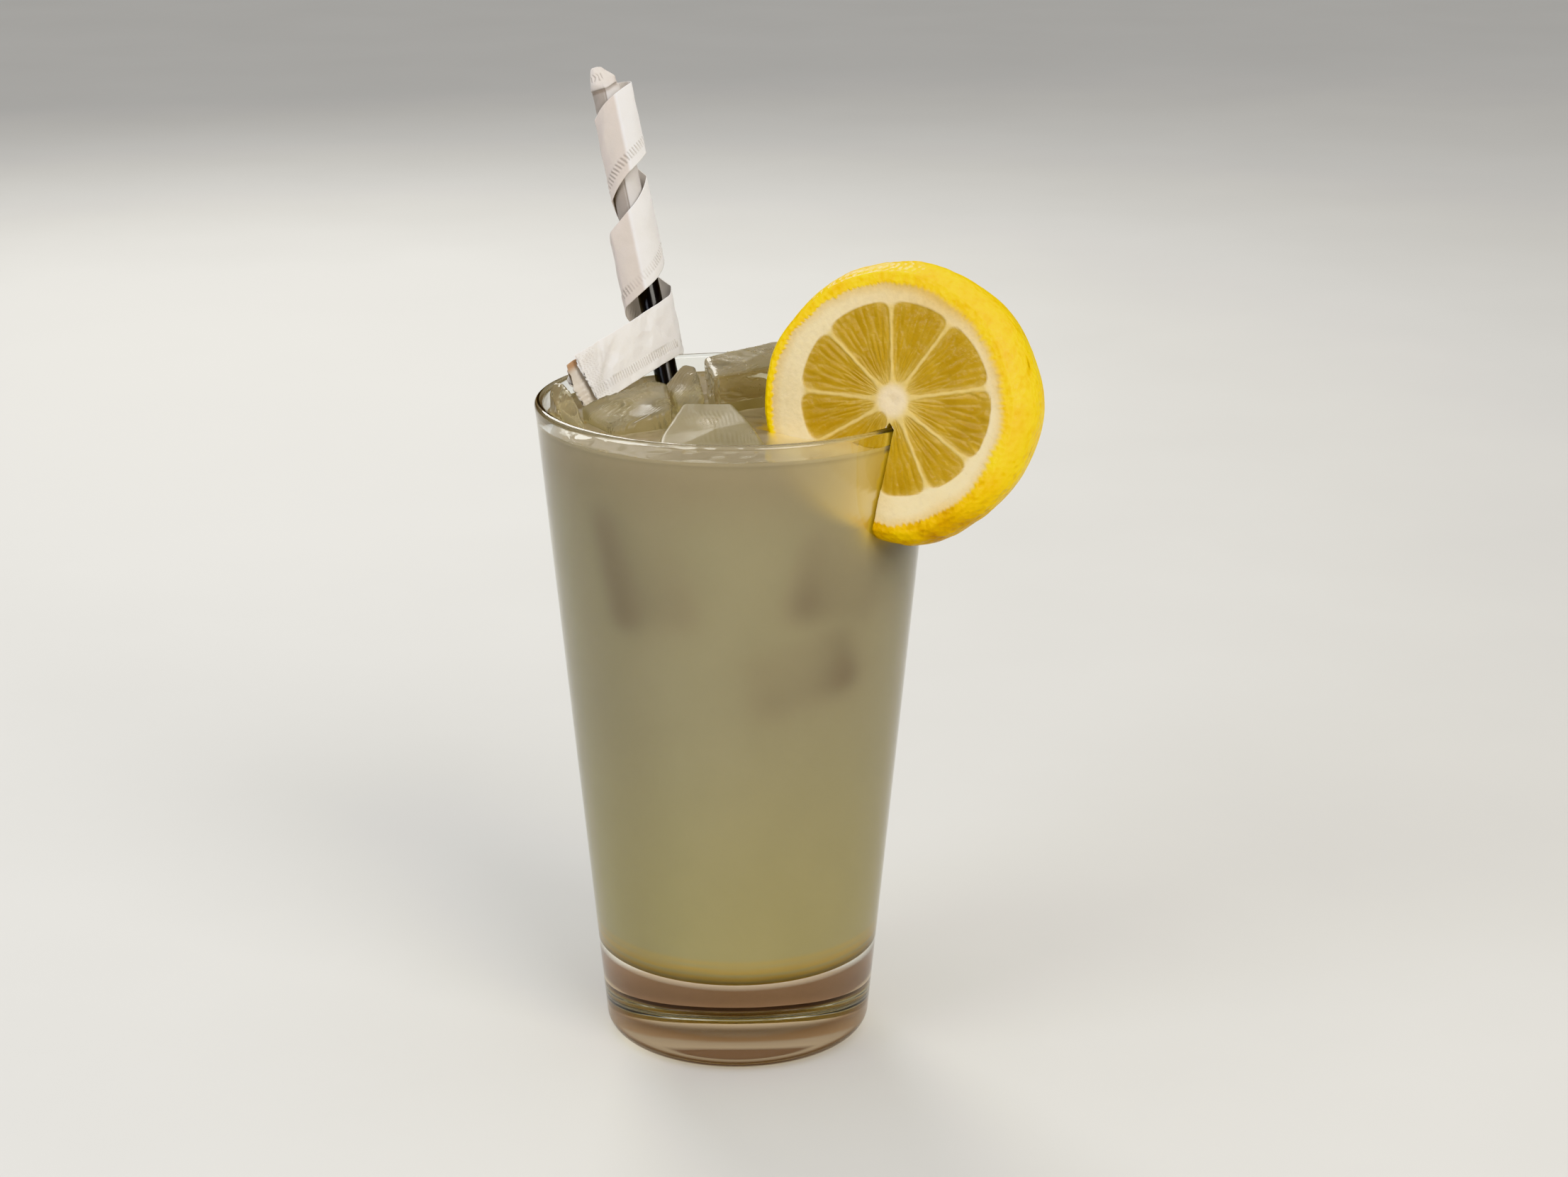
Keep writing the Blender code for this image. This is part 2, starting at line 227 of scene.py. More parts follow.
# Studio: pale floor, pale room, three soft lamps

studio = {
    "floor": "#D0CFCB", "floorReach": 6.0,
    "roomTop": "#FFFFFF", "roomLow": "#57463A", "roomStrength": 0.78, "roomEdge": (0.22, 0.70),
    "lamps": (
        # name, place, width in metres, watts, colour
        ("keyLamp", (0.58, -0.86, 0.80), 0.80, 9.8, "#FFFAF2"),
        ("fillLamp", (-0.85, -0.60, 0.60), 0.70, 5.0, "#F2F6FF"),
        ("backLamp", (-0.30, 0.95, 0.75), 0.50, 6.0, "#FFFDF8"),
    ),
}


def paintedFloor():
    # matt painted board: nearly even, with a faint mottle
    material, tree, shader = startMaterial("mattPaintedBoard", {"Roughness": 0.75})
    place = addNode(tree, "ShaderNodeTexCoord")
    mottle = addNode(tree, "ShaderNodeTexNoise", {"Scale": 9.0, "Detail": 4.0},
                     {"Vector": place.outputs["Object"]})
    spread = addNode(tree, "ShaderNodeMapRange", {"To Min": 0.96, "To Max": 1.04},
                     {"Value": mottle.outputs["Fac"]})
    colour = addNode(tree, "ShaderNodeHueSaturation", {"Color": linear(studio["floor"])},
                     {"Value": spread.outputs["Result"]})
    tree.links.new(colour.outputs["Color"], shader.inputs["Base Color"])
    return material


reach = studio["floorReach"]
floor = meshObject("floor", [(-reach, -reach, 0), (reach, -reach, 0), (reach, reach, 0), (-reach, reach, 0)],
                   [(0, 1, 2, 3)])
floor.data.materials.append(paintedFloor())

for name, place, side, watts, colour in studio["lamps"]:
    light = bpy.data.lights.new(name, "AREA")
    light.shape = "DISK"
    light.size = side
    light.energy = watts
    light.color = linear(colour)[:3]
    lamp = bpy.data.objects.new(name, light)
    lamp.location = place
    lamp.rotation_euler = (Vector((0, 0, 0.09)) - lamp.location).to_track_quat("-Z", "Y").to_euler()
    lamp.visible_transmission = False       # no bright disk seen through the glass foot
    scene.collection.objects.link(lamp)

world = bpy.data.worlds.new("room")
world.use_nodes = True
scene.world = world
room = world.node_tree
where = addNode(room, "ShaderNodeTexCoord")
height = addNode(room, "ShaderNodeSeparateXYZ", links={"Vector": where.outputs["Generated"]})
shade = addNode(room, "ShaderNodeValToRGB", links={"Fac": height.outputs["Z"]})
shade.color_ramp.elements[0].color = linear(studio["roomLow"])
shade.color_ramp.elements[0].position = studio["roomEdge"][0]
shade.color_ramp.elements[1].color = linear(studio["roomTop"])
shade.color_ramp.elements[1].position = studio["roomEdge"][1]
room.links.new(shade.outputs["Color"], room.nodes["Background"].inputs["Color"])
room.nodes["Background"].inputs["Strength"].default_value = studio["roomStrength"]
print("stage: camera, floor, lamps")


# Lathe: a Geometry Nodes tree that turns an outline about Z, for the glass and the drink

def buildLathe():
    tree = bpy.data.node_groups.new("turnOnLathe", "GeometryNodeTree")
    for name, kind in (("Outline", "Geometry"), ("Steps", "Int"), ("Spindle", "Float"), ("Finish", "Material")):
        tree.interface.new_socket(name, in_out="INPUT", socket_type="NodeSocket" + kind)
    tree.interface.new_socket("Turned", in_out="OUTPUT", socket_type="NodeSocketGeometry")
    given = addNode(tree, "NodeGroupInput").outputs
    path = addNode(tree, "GeometryNodeCurvePrimitiveCircle", mode="RADIUS",
                   links={"Resolution": given["Steps"], "Radius": given["Spindle"]})
    outline = addNode(tree, "GeometryNodeMeshToCurve", links={"Mesh": given["Outline"]})
    swept = addNode(tree, "GeometryNodeCurveToMesh",
                    links={"Curve": path.outputs["Curve"], "Profile Curve": outline.outputs["Curve"]})
    closed = addNode(tree, "GeometryNodeMergeByDistance", {"Distance": 1e-6},
                     {"Geometry": swept.outputs["Mesh"]})
    real = addNode(tree, "GeometryNodeRealizeInstances", links={"Geometry": closed.outputs["Geometry"]})
    done = addNode(tree, "GeometryNodeSetMaterial",
                   links={"Geometry": real.outputs["Geometry"], "Material": given["Finish"]})
    addNode(tree, "NodeGroupOutput", links={"Turned": done.outputs["Geometry"]})
    return tree


lathe = buildLathe()


def giveInputs(modifier, **values):
    for item in modifier.node_group.interface.items_tree:
        if item.item_type == "SOCKET" and item.in_out == "INPUT" and item.name in values:
            modifier[item.identifier] = values[item.name]


def turned(name, outline, steps, material, loop=False):
    # outline: (radius, height) in mm; the sweep turns it over, so heights go in with their sign changed
    spindle = 1.0
    count = len(outline)
    mesh = bpy.data.meshes.new(name)
    edges = [(i, i + 1) for i in range(count - 1)] + ([(count - 1, 0)] if loop else [])
    mesh.from_pydata([((r - spindle) * mm, -z * mm, 0) for r, z in outline], edges, [])
    piece = bpy.data.objects.new(name, mesh)
    scene.collection.objects.link(piece)
    turn = piece.modifiers.new("lathe", "NODES")
    turn.node_group = lathe
    giveInputs(turn, Steps=steps, Spindle=spindle * mm, Finish=material)
    return outward(baked(piece))


# Glass: clear pressed soda-lime glass with a thick foot

glass = {
    "height": 150.0, "rimRadius": 44.5, "baseRadius": 30.2, "rimWall": 2.1, "footWall": 3.0,
    "footRound": 4.2, "floorMiddle": 18.5, "floorEdge": 20.6, "floorEdgeRadius": 23.5,
    "floorCornerTop": 27.0, "hollowRadius": 25.0, "hollowDepth": 0.7, "steps": 200,
    "waviness": 0.035, "paintedFootTop": 28.0,
    # painted light and shade up the foot, in mm, for what the thick glass refracts and reflects: golden ring,
    # brown, pale band, dark band, then clear glass
    "paintedFootLight": ((0.0, "#E8BC70"), (1.8, "#D2AC80"), (8.8, "#D2AC80"), (10.2, "#F4EDD6"), (13.2, "#F4EDD6"),
              (14.6, "#705646"), (20.8, "#705646"), (22.4, "#FBFDFB")),
}


def outerRadius(z):
    return glass["baseRadius"] + (glass["rimRadius"] - glass["baseRadius"]) * z / glass["height"]


def innerRadius(z):
    return outerRadius(z) - glass["footWall"] - (glass["rimWall"] - glass["footWall"]) * z / glass["height"]


def floorOutline(lift, steps):
    # the dished floor and its large round corner, from the middle out
    edge, top = glass["floorEdge"], glass["floorCornerTop"]
    points = []
    for i in range(steps + 1):
        share = i / steps
        rise = (edge - glass["floorMiddle"]) * share * share
        points.append((glass["floorEdgeRadius"] * share, glass["floorMiddle"] + rise + lift))
    start = Vector(points[-1])
    corner = Vector((innerRadius(edge) - lift, edge + lift))
    end = Vector((innerRadius(top) - lift, top))
    for i in range(1, steps + 1):
        t = i / steps
        points.append(tuple(start.lerp(corner, t).lerp(corner.lerp(end, t), t)))
    return points


def arc(centre, radius, start, end, count):
    turns = [math.radians(start + (end - start) * i / count) for i in range(count + 1)]
    return [(centre[0] + radius * math.cos(a), centre[1] + radius * math.sin(a)) for a in turns]


def pressedGlass():
    # soda-lime glass, fire polished: very smooth, with a slow waviness left by the mould
    material, tree, shader = startMaterial("pressedSodaLimeGlass", {
        "Roughness": 0.0, "IOR": 1.52, "Transmission Weight": 1.0})
    place = addNode(tree, "ShaderNodeTexCoord")
    waves = addNode(tree, "ShaderNodeTexNoise", {"Scale": 70.0, "Detail": 1.0},
                    {"Vector": place.outputs["Object"]})
    bump = addNode(tree, "ShaderNodeBump", {"Strength": 0.05, "Distance": 0.001},
                   {"Height": waves.outputs["Fac"]})
    # painted light and shade: the foot's colour in bands by height, for what the thick glass refracts and reflects
    height = addNode(tree, "ShaderNodeSeparateXYZ", links={"Vector": place.outputs["Object"]})
    upFoot = addNode(tree, "ShaderNodeMapRange", {"From Max": glass["paintedFootTop"] * mm},
                     {"Value": height.outputs["Z"]})
    tint = addNode(tree, "ShaderNodeValToRGB", links={"Fac": upFoot.outputs["Result"]})
    stops = tint.color_ramp.elements
    stops.remove(stops[1])
    for i, (z, colour) in enumerate(glass["paintedFootLight"]):
        stop = stops[0] if i == 0 else stops.new(z / glass["paintedFootTop"])
        stop.color = linear(colour)
    tree.links.new(tint.outputs["Color"], shader.inputs["Base Color"])
    tree.links.new(bump.outputs["Normal"], shader.inputs["Normal"])
    letLampsThrough(tree, shader, "#F4F7F4")
    return material


def glassOutline():
    lip = glass["rimWall"] / 2
    points = floorOutline(0.0, 14)
    first, last = glass["floorCornerTop"], glass["height"] - lip
    rows = 44
    points += [(innerRadius(first + (last - first) * i / rows), first + (last - first) * i / rows)
               for i in range(1, rows)]
    points += arc((glass["rimRadius"] - lip, last), lip, 180, 0, 14)
    low = glass["footRound"]
    points += [(outerRadius(last + (low - last) * i / rows), last + (low - last) * i / rows)
               for i in range(1, rows)]
    points += arc((outerRadius(low) - low, low), low, 0, -90, 12)
    # a shallow hollow under the foot, so that it stands on its ring
    for i in range(12):
        share = 1 - i / 11
        points.append((glass["hollowRadius"] * share, glass["hollowDepth"] * (1 - share ** 2) ** 2))
    return points


glassPiece = turned("tumbler", glassOutline(), glass["steps"], pressedGlass())
points = pointsOf(glassPiece)
sides = np.where((points[:, 2] > 30 * mm) & (points[:, 2] < 146 * mm), 1.0, 0.0)
waves = glass["waviness"] * mm * smoothNoise(points, 26 * mm, 3) * sides
setPoints(glassPiece, points - normalsOf(glassPiece) * np.abs(waves)[:, None])
finish(glassPiece, "clear_glass", "glass")
print("glass:", len(glassPiece.data.polygons), "faces")


# Lemon wheel, slit onto the rim

lemon = {
    "core": (34.0, -27.2, 155.7), "turn": 32.0, "lean": 10.0,
    "halfWidth": 30.6, "halfHeight": 27.7, "offset": -1.5, "thickness": 13.0, "bulge": 2.1,
    "pulpWidth": 23.5, "pulpHeight": 20.9, "pulpMiddle": (0.35, 0.4), "coreRadius": 2.3,
    # where the walls between the segments stand, in degrees anticlockwise from the right
    "walls": (13.7, 55.9, 97.6, 143.9, 181.7, 212.7, 265.3, 300.8, 331.9),
    "wallHalf": 0.20, "cornerRound": 1.1, "cellWidth": 1.5, "cellLength": 7.4,
    "cellRise": 0.17, "openSegment": 8, "columns": 440, "slitTop": 150.9, "slitBottom": 112.0,
    "pulp": "#BC9836", "pulpLight": "#D6BC70", "pulpDeep": "#A5801F", "membrane": "#D9BF74",
    # the pith's warm tone serves next to the oil layer and, towards the top of the wheel, as painted shade
    "pith": "#E9D9AF", "pithWarmAndShaded": "#DAB970", "middle": "#E8D7B4",
    # the peel's deep tone is painted shade towards the foot of the wheel
    "peel": "#FFD200", "peelShaded": "#BE860C", "peelLight": "#FFDE08",
    # small brown marks on the peel: bearing, width, depth behind the face, height
    "marks": ((20, 2.2, 5.5, 0.5), (-14, 1.6, 8.0, 0.4)), "markTone": "#9A6A1C",
}
lemonTurn, lemonLean = math.radians(lemon["turn"]), math.radians(lemon["lean"])
faceWay = Vector((-math.sin(lemonTurn) * math.cos(lemonLean),
                  -math.cos(lemonTurn) * math.cos(lemonLean), math.sin(lemonLean)))
rightWay = Vector((math.cos(lemonTurn), -math.sin(lemonTurn), 0))
lemonFrame = np.array([rightWay, faceWay.cross(rightWay), faceWay])


def swell(degrees, at, width):
    off = (degrees - at + 180) % 360 - 180
    return np.exp(-((off / width) ** 2))


def wheelOutline(turns):
    # flatter at the upper left, fuller at the foot, a little uneven all round
    degrees = np.degrees(turns)
    uneven = 0.006 * np.sin(5 * turns + 2.1) + 0.004 * np.sin(9 * turns + 1.0)
    return 1 + uneven - 0.045 * swell(degrees, 138, 26) + 0.035 * swell(degrees, -72, 34)


def segmentDepth(x, y):
    # how far inside its segment a point of the cut face lies, in mm, and the segment's number
    turns = np.degrees(np.arctan2(y, x)) % 360
    walls = np.array(lemon["walls"])
    number = (np.searchsorted(walls, turns) - 1) % len(walls)
    start = walls[number]
    end = walls[(number + 1) % len(walls)]
    radius = np.hypot(x, y)
    fromStart = radius * np.sin(np.radians(np.clip((turns - start) % 360, 0, 90)))
    toEnd = radius * np.sin(np.radians(np.clip((end - turns) % 360, 0, 90)))
    middleX, middleY = lemon["pulpMiddle"]
    oval = np.hypot((x - middleX) / lemon["pulpWidth"], (y - middleY) / lemon["pulpHeight"])
    toEdge = (1 - oval) * 22.0
    k = lemon["cornerRound"]
    walled = lemon["wallHalf"] * (1 + 0.25 * np.sin(radius * 1.7 + number * 2.0))
    shares = [fromStart - walled, toEnd - walled, toEdge, radius - lemon["coreRadius"]]
    depth = -k * np.log(sum(np.exp(-np.clip(s, -20, 40) / k) for s in shares))
    inWall = smoothStep(0.2, 1.8, toEdge) * smoothStep(0.3, 2.5, radius - lemon["coreRadius"])
    return depth, inWall, number


def juiceCells(x, y, number, seed):
    # long cells that point at the core: how near a point is to its cell's middle (1) or border (0)
    walls = np.array(lemon["walls"])
    rng = np.random.default_rng(seed)
    radius, turns = np.hypot(x, y), np.degrees(np.arctan2(y, x)) % 360
    stretch = lemon["cellLength"] / lemon["cellWidth"]
    inside, shade = np.zeros(len(x)), np.zeros(len(x))
    for k, start in enumerate(walls):
        span = (walls[(k + 1) % len(walls)] - start) % 360
        width = math.radians(span) * 15.0
        seeds = []
        for row in range(5):
            count = max(2, round(width / lemon["cellWidth"]))
            for j in range(count):
                seeds.append(((j + 0.5 * (row % 2) + rng.uniform(-0.3, 0.3)) * width / count,
                              (2.5 + (row + rng.uniform(-0.35, 0.35)) * lemon["cellLength"]) / stretch))
        seeds = np.array(seeds)
        light = rng.uniform(0, 1, len(seeds))
        mine = np.where(number == k)[0]
        for part in np.array_split(mine, max(1, len(mine) // 6000)):
            u = np.radians((turns[part] - start) % 360) * 15.0
            v = radius[part] / stretch
            away = np.hypot(u[:, None] - seeds[:, 0], v[:, None] - seeds[:, 1])
            order = np.sort(away, axis=1)
            inside[part] = (order[:, 1] - order[:, 0]) / (order[:, 1] + order[:, 0] + 1e-9)
            shade[part] = light[np.argmin(away, axis=1)]
    return inside, shade


def lemonRings():
    # rings over the cut face, round the peel and over the back face, in mm in the wheel's own frame
    columns = lemon["columns"]
    turns = np.linspace(0, 2 * math.pi, columns, endpoint=False)
    shape = wheelOutline(turns)
    across = lemon["halfHeight"] / lemon["halfWidth"]

    def edge(extra):
        radius = lemon["halfWidth"] + extra
        return np.stack([radius * shape * np.cos(turns) + lemon["offset"],
                         radius * shape * np.sin(turns) * across], axis=1)

    pulp = np.stack([lemon["pulpWidth"] * np.cos(turns) + lemon["pulpMiddle"][0],
                     lemon["pulpHeight"] * np.sin(turns) + lemon["pulpMiddle"][1]], axis=1)
    faceEdge = edge(-0.5)

    def face(depth, rowsIn, rowsOut):
        rows = [np.column_stack([pulp * share, np.full(columns, depth)])
                for share in np.linspace(0.01, 1, rowsIn)]
        rows += [np.column_stack([pulp + (faceEdge - pulp) * share, np.full(columns, depth)])
                 for share in np.linspace(0, 1, rowsOut + 1)[1:]]
        return rows

    thick = lemon["thickness"]
    rings = face(0.0, 62, 26)
    front = len(rings)
    rings.append(np.column_stack([edge(-0.15), np.full(columns, -0.12)]))
    steps = 34
    for i in range(steps + 1):
        t = i / steps
        bulge = lemon["bulge"] * math.sin(math.pi * t ** 0.75) + 0.7 * t
        rings.append(np.column_stack([edge(bulge), np.full(columns, -0.4 - (thick - 0.8) * t)]))
    rings.append(np.column_stack([edge(0.3), np.full(columns, -thick)]))
    back = len(rings)
    rings += face(-thick, 42, 16)[::-1]
    return np.array(rings), front, back


def flesh(flat, cut):
    # everything that the cut shows at points of the wheel's own frame: colours, and how far it rises
    x, y = flat[:, 0], flat[:, 1]
    radius = np.hypot(x, y)
    turns = np.arctan2(y, x - lemon["offset"])
    degrees = np.degrees(turns)
    depth, inWall, number = segmentDepth(x, y)
    cell, shade = juiceCells(x, y, number, 11)
    isPulp = smoothStep(-0.10, 0.34, depth) * cut
    # distance from the face's outer edge, and the peel's oil layer with its toothed inner border
    edgeRadius = (lemon["halfWidth"] - 0.5) * wheelOutline(turns)
    fromEdge = edgeRadius - np.hypot(x - lemon["offset"], y * lemon["halfWidth"] / lemon["halfHeight"])
    teeth = np.abs(np.sin(turns * 66 + 2.1 * np.sin(turns * 7))) ** 1.5
    round_ = np.stack([np.cos(turns) * 30, np.sin(turns) * 30, flat[:, 2] * 0], axis=1)
    uneven = smoothNoise(round_, 4.0, 7)
    oilLayer = (0.8 + 1.5 * swell(degrees, 80, 60) + 0.9 * swell(degrees, -10, 50)
                + 0.5 * swell(degrees, -90, 40) + 0.35 * uneven)
    soften = 0.30 + 1.0 * swell(degrees, 25, 60)
    tooth = 0.35 + 0.45 * np.clip(smoothNoise(round_, 2.2, 16) + 0.4, 0, 1)
    isOil = smoothStep(-1, 1, (oilLayer + tooth * teeth - fromEdge) / soften) * cut
    # heights: juice cells swell out, the walls and the pith sink and rise a little
    slow = smoothNoise(flat, 7.0, 6)
    open_ = (number == lemon["openSegment"]) * smoothStep(12, 19, radius)
    dome = np.sqrt(np.clip(cell, 0, 1)) - 0.75
    dome = np.where((shade > 0.6) & (open_ > 0.4), 0.3 - 1.9 * np.clip(cell, 0, 1), dome)
    streak = smoothNoise(np.stack([turns * 20, radius / 6, flat[:, 2] * 0], axis=1), 0.55, 14)
    rise = isPulp * (lemon["cellRise"] * (1 + 1.1 * open_) * dome - 0.10 + 0.05 * streak)
    rise += (1 - isPulp) * (0.03 * smoothNoise(flat, 1.4, 5) + 0.12 * slow) + 0.06 * isOil * teeth
    rise -= 0.30 * np.exp(-((radius / 1.1) ** 2))
    # colours
    border = 1 - smoothStep(0.0, 0.34, cell)
    cloud = smoothNoise(flat, 4.5, 17)
    depthTone = np.clip(0.60 + 0.26 * shade + 0.12 * streak + 0.30 * cloud, 0, 1)
    pulp = between(tone(lemon["pulpDeep"]), tone(lemon["pulp"]), depthTone)
    # fine pale threads between the cells run out from the middle
    spokes = np.stack([turns * 60, radius / 9, flat[:, 2] * 0], axis=1)
    threads = smoothStep(0.35, 0.95, smoothNoise(spokes, 1.0, 18))
    lighter = (0.14 * border + 0.30 * threads * smoothStep(22, 5, radius)
               + 0.38 * smoothStep(10, 2.5, radius) + 0.24 * smoothStep(1.8, 0.1, depth))
    pulp = between(pulp, tone(lemon["pulpLight"]), np.clip(lighter + 0.08 * streak, 0, 1))
    # the pith is warmer next to the oil layer; towards the top of the wheel it is darker and warmer, painted shade
    warmAndShaded = smoothStep(3.2, 0.2, fromEdge - oilLayer) * 0.55 + 0.5 * swell(degrees, 70, 55) + 0.15 * slow
    pith = between(tone(lemon["pith"]), tone(lemon["pithWarmAndShaded"]), np.clip(warmAndShaded, 0, 1))
    pith = between(pith, tone(lemon["middle"]), smoothStep(5, 2, radius))
    pith = between(pith, tone(lemon["membrane"]), 0.85 * inWall)
    colour = between(pith, pulp, isPulp)
    pores = smoothNoise(flat, 0.95, 8)
    peel = between(tone(lemon["peel"]), tone(lemon["peelLight"]), 0.5 + 0.5 * smoothNoise(flat, 5.0, 13))
    # painted shade: the peel darkens towards the foot of the wheel, and in its pores
    low = smoothStep(0.25, 1.0, -np.sin(turns)) * 0.9 * (0.75 + 0.35 * smoothNoise(flat, 4.0, 15))
    peel = between(peel, tone(lemon["peelShaded"]), np.clip(low - 0.35 * np.minimum(pores, 0), 0, 1))
    colour = between(colour, peel, np.where(cut, isOil, 1))
    marks = sum(np.exp(-(((degrees - at) / wide) ** 2) - ((flat[:, 2] + deep) / tall) ** 2)
                for at, wide, deep, tall in lemon["marks"])
    colour = between(colour, tone(lemon["markTone"]), np.clip(marks, 0, 1) * ~cut * 0.7)
    return colour, np.minimum(rise, 0.32), isPulp, np.where(cut, isOil, 1.0), pores


def lemonSurface():
    rings, front, back = lemonRings()
    rows, columns = rings.shape[:2]
    flat = rings.reshape(-1, 3)
    row = np.repeat(np.arange(rows), columns)
    onFace, onBack = row < front, row >= back
    colour, rise, wet, peel, pores = flesh(flat, onFace | onBack)
    swells = 0.24 * smoothNoise(flat, 6.5, 9) + 0.10 * smoothNoise(flat, 2.6, 10) + 0.08 * np.minimum(pores, 0.1)
    bearing = np.degrees(np.arctan2(flat[:, 1], flat[:, 0]))
    swells += 0.60 * swell(bearing, -75, 32) - 0.18        # a little fuller at the foot
    # the peel's swells die away where the cut face begins
    thick = lemon["thickness"]
    nearFace = smoothStep(0.0, 2.5, -flat[:, 2]) * smoothStep(-thick, 2.5 - thick, flat[:, 2])
    swells = np.where(onFace | onBack, 0, swells * (0.35 + 0.65 * nearFace))
    flat = flat.copy()
    flat[:, 2] += np.where(onFace, rise, 0) - np.where(onBack, rise, 0)
    flat[:, :2] *= (1 + swells / np.hypot(flat[:, 0], flat[:, 1]))[:, None]
    world = flat @ lemonFrame + np.array(lemon["core"])
    piece = shellOfRings("lemon_slice", (world * mm).reshape(rows, columns, 3))
    ends = [colour[:columns].mean(axis=0), colour[-columns:].mean(axis=0)]
    setTone(piece, "tone", np.vstack([colour, ends]))
    setAmount(piece, "wet", np.append(wet, [0, 0]))
    setAmount(piece, "peel", np.append(peel, [0, 0]))
    return piece


def paintSlit(piece):
    # the slit's own walls show the flesh that they cut through
    points = pointsOf(piece) / mm
    radius = np.hypot(points[:, 0], points[:, 1])
    onWall = np.minimum(np.abs(radius - innerRadius(points[:, 2]) + clearance),
                        np.abs(radius - outerRadius(points[:, 2]) - clearance)) < 0.06
    onWall |= np.abs(radius - rimMiddle) < shut + 0.5
    onWall &= points[:, 2] < lemon["slitTop"] + 0.05
    own = (points[onWall] - np.array(lemon["core"])) @ lemonFrame.T
    colour, _, wet, peel, _ = flesh(own, np.ones(len(own), dtype=bool))
    tones = np.empty(len(points) * 4)
    piece.data.color_attributes["tone"].data.foreach_get("color", tones)
    tones = tones.reshape(-1, 4)
    tones[onWall, :3] = colour
    piece.data.color_attributes["tone"].data.foreach_set("color", tones.ravel())
    for name, values in (("wet", wet), ("peel", peel)):
        amounts = np.empty(len(points))
        piece.data.attributes[name].data.foreach_get("value", amounts)
        amounts[onWall] = values
        piece.data.attributes[name].data.foreach_set("value", amounts)


def cutLemon():
    # juicy flesh under a wet film, spongy matt pith and waxy oily peel, told apart by the attributes
    material, tree, shader = startMaterial("cutLemon", {
        "IOR": 1.38, "Specular IOR Level": 0.25, "Subsurface Weight": 0.3, "Subsurface Scale": 0.0015,
        "Subsurface Radius": (1.0, 0.9, 0.5)})
    colour = addNode(tree, "ShaderNodeAttribute", attribute_name="tone")
    wet = addNode(tree, "ShaderNodeAttribute", attribute_name="wet")
    peel = addNode(tree, "ShaderNodeAttribute", attribute_name="peel")
    place = addNode(tree, "ShaderNodeTexCoord")
    fine = addNode(tree, "ShaderNodeTexNoise", {"Scale": 900.0, "Detail": 3.0},
                   {"Vector": place.outputs["Object"]})
    pores = addNode(tree, "ShaderNodeTexVoronoi", {"Scale": 780.0, "Randomness": 0.9},
                    {"Vector": place.outputs["Object"]})
    mottle = addNode(tree, "ShaderNodeMapRange", {"To Min": 0.90, "To Max": 1.10},
                     {"Value": fine.outputs["Fac"]})
    shaded = addNode(tree, "ShaderNodeHueSaturation", links={
        "Value": mottle.outputs["Result"], "Color": colour.outputs["Color"]})
    dry = addNode(tree, "ShaderNodeMapRange", {"To Min": 0.62, "To Max": 0.17}, {"Value": wet.outputs["Fac"]})
    waxed = addNode(tree, "ShaderNodeMix", {"B": 0.34}, {"Factor": peel.outputs["Fac"], "A": dry.outputs["Result"]})
    pit = addNode(tree, "ShaderNodeMath", links={0: pores.outputs["Distance"], 1: peel.outputs["Fac"]},
                  operation="MULTIPLY")
    relief = addNode(tree, "ShaderNodeMath", {1: 0.5}, {0: fine.outputs["Fac"]}, operation="MULTIPLY")
    total = addNode(tree, "ShaderNodeMath", links={0: pit.outputs["Value"], 1: relief.outputs["Value"]},
                    operation="ADD")
    bump = addNode(tree, "ShaderNodeBump", {"Strength": 0.6, "Distance": 0.0004},
                   {"Height": total.outputs["Value"]})
    tree.links.new(shaded.outputs["Color"], shader.inputs["Base Color"])
    tree.links.new(waxed.outputs["Result"], shader.inputs["Roughness"])
    tree.links.new(bump.outputs["Normal"], shader.inputs["Normal"])
    return material


def cutAway(piece, cutter, keep=False):
    cut = piece.modifiers.new("cut", "BOOLEAN")
    cut.operation = "DIFFERENCE"
    cut.solver = "MANIFOLD"
    cut.object = cutter
    baked(piece)
    if not keep:
        bpy.data.objects.remove(cutter, do_unlink=True)


lemonPiece = lemonSurface()
clearance, shut, rimRadius = 0.06, 0.12, glass["rimRadius"]      # the wet flesh all but touches the glass
rimMiddle = rimRadius - glass["rimWall"] / 2
slitOutline = [
    (rimMiddle - shut, lemon["slitTop"]), (rimMiddle + shut, lemon["slitTop"]),
    (rimRadius + clearance, glass["height"] + clearance - 0.6),
    (outerRadius(lemon["slitBottom"]) + clearance, lemon["slitBottom"]),
    (innerRadius(lemon["slitBottom"]) - clearance, lemon["slitBottom"]),
    (innerRadius(glass["height"]) - clearance, glass["height"] + clearance - 0.6)]
cutAway(lemonPiece, turned("slitRing", slitOutline, 240, None, True))
paintSlit(lemonPiece)
lemonPiece.data.materials.clear()
lemonPiece.data.materials.append(cutLemon())
lemonPiece.data.shade_smooth()
finish(lemonPiece, "lemon", "lemon_wheel")
print("lemon:", len(lemonPiece.data.polygons), "faces")


# Ice: clear and frosted blocks, melting at their edges

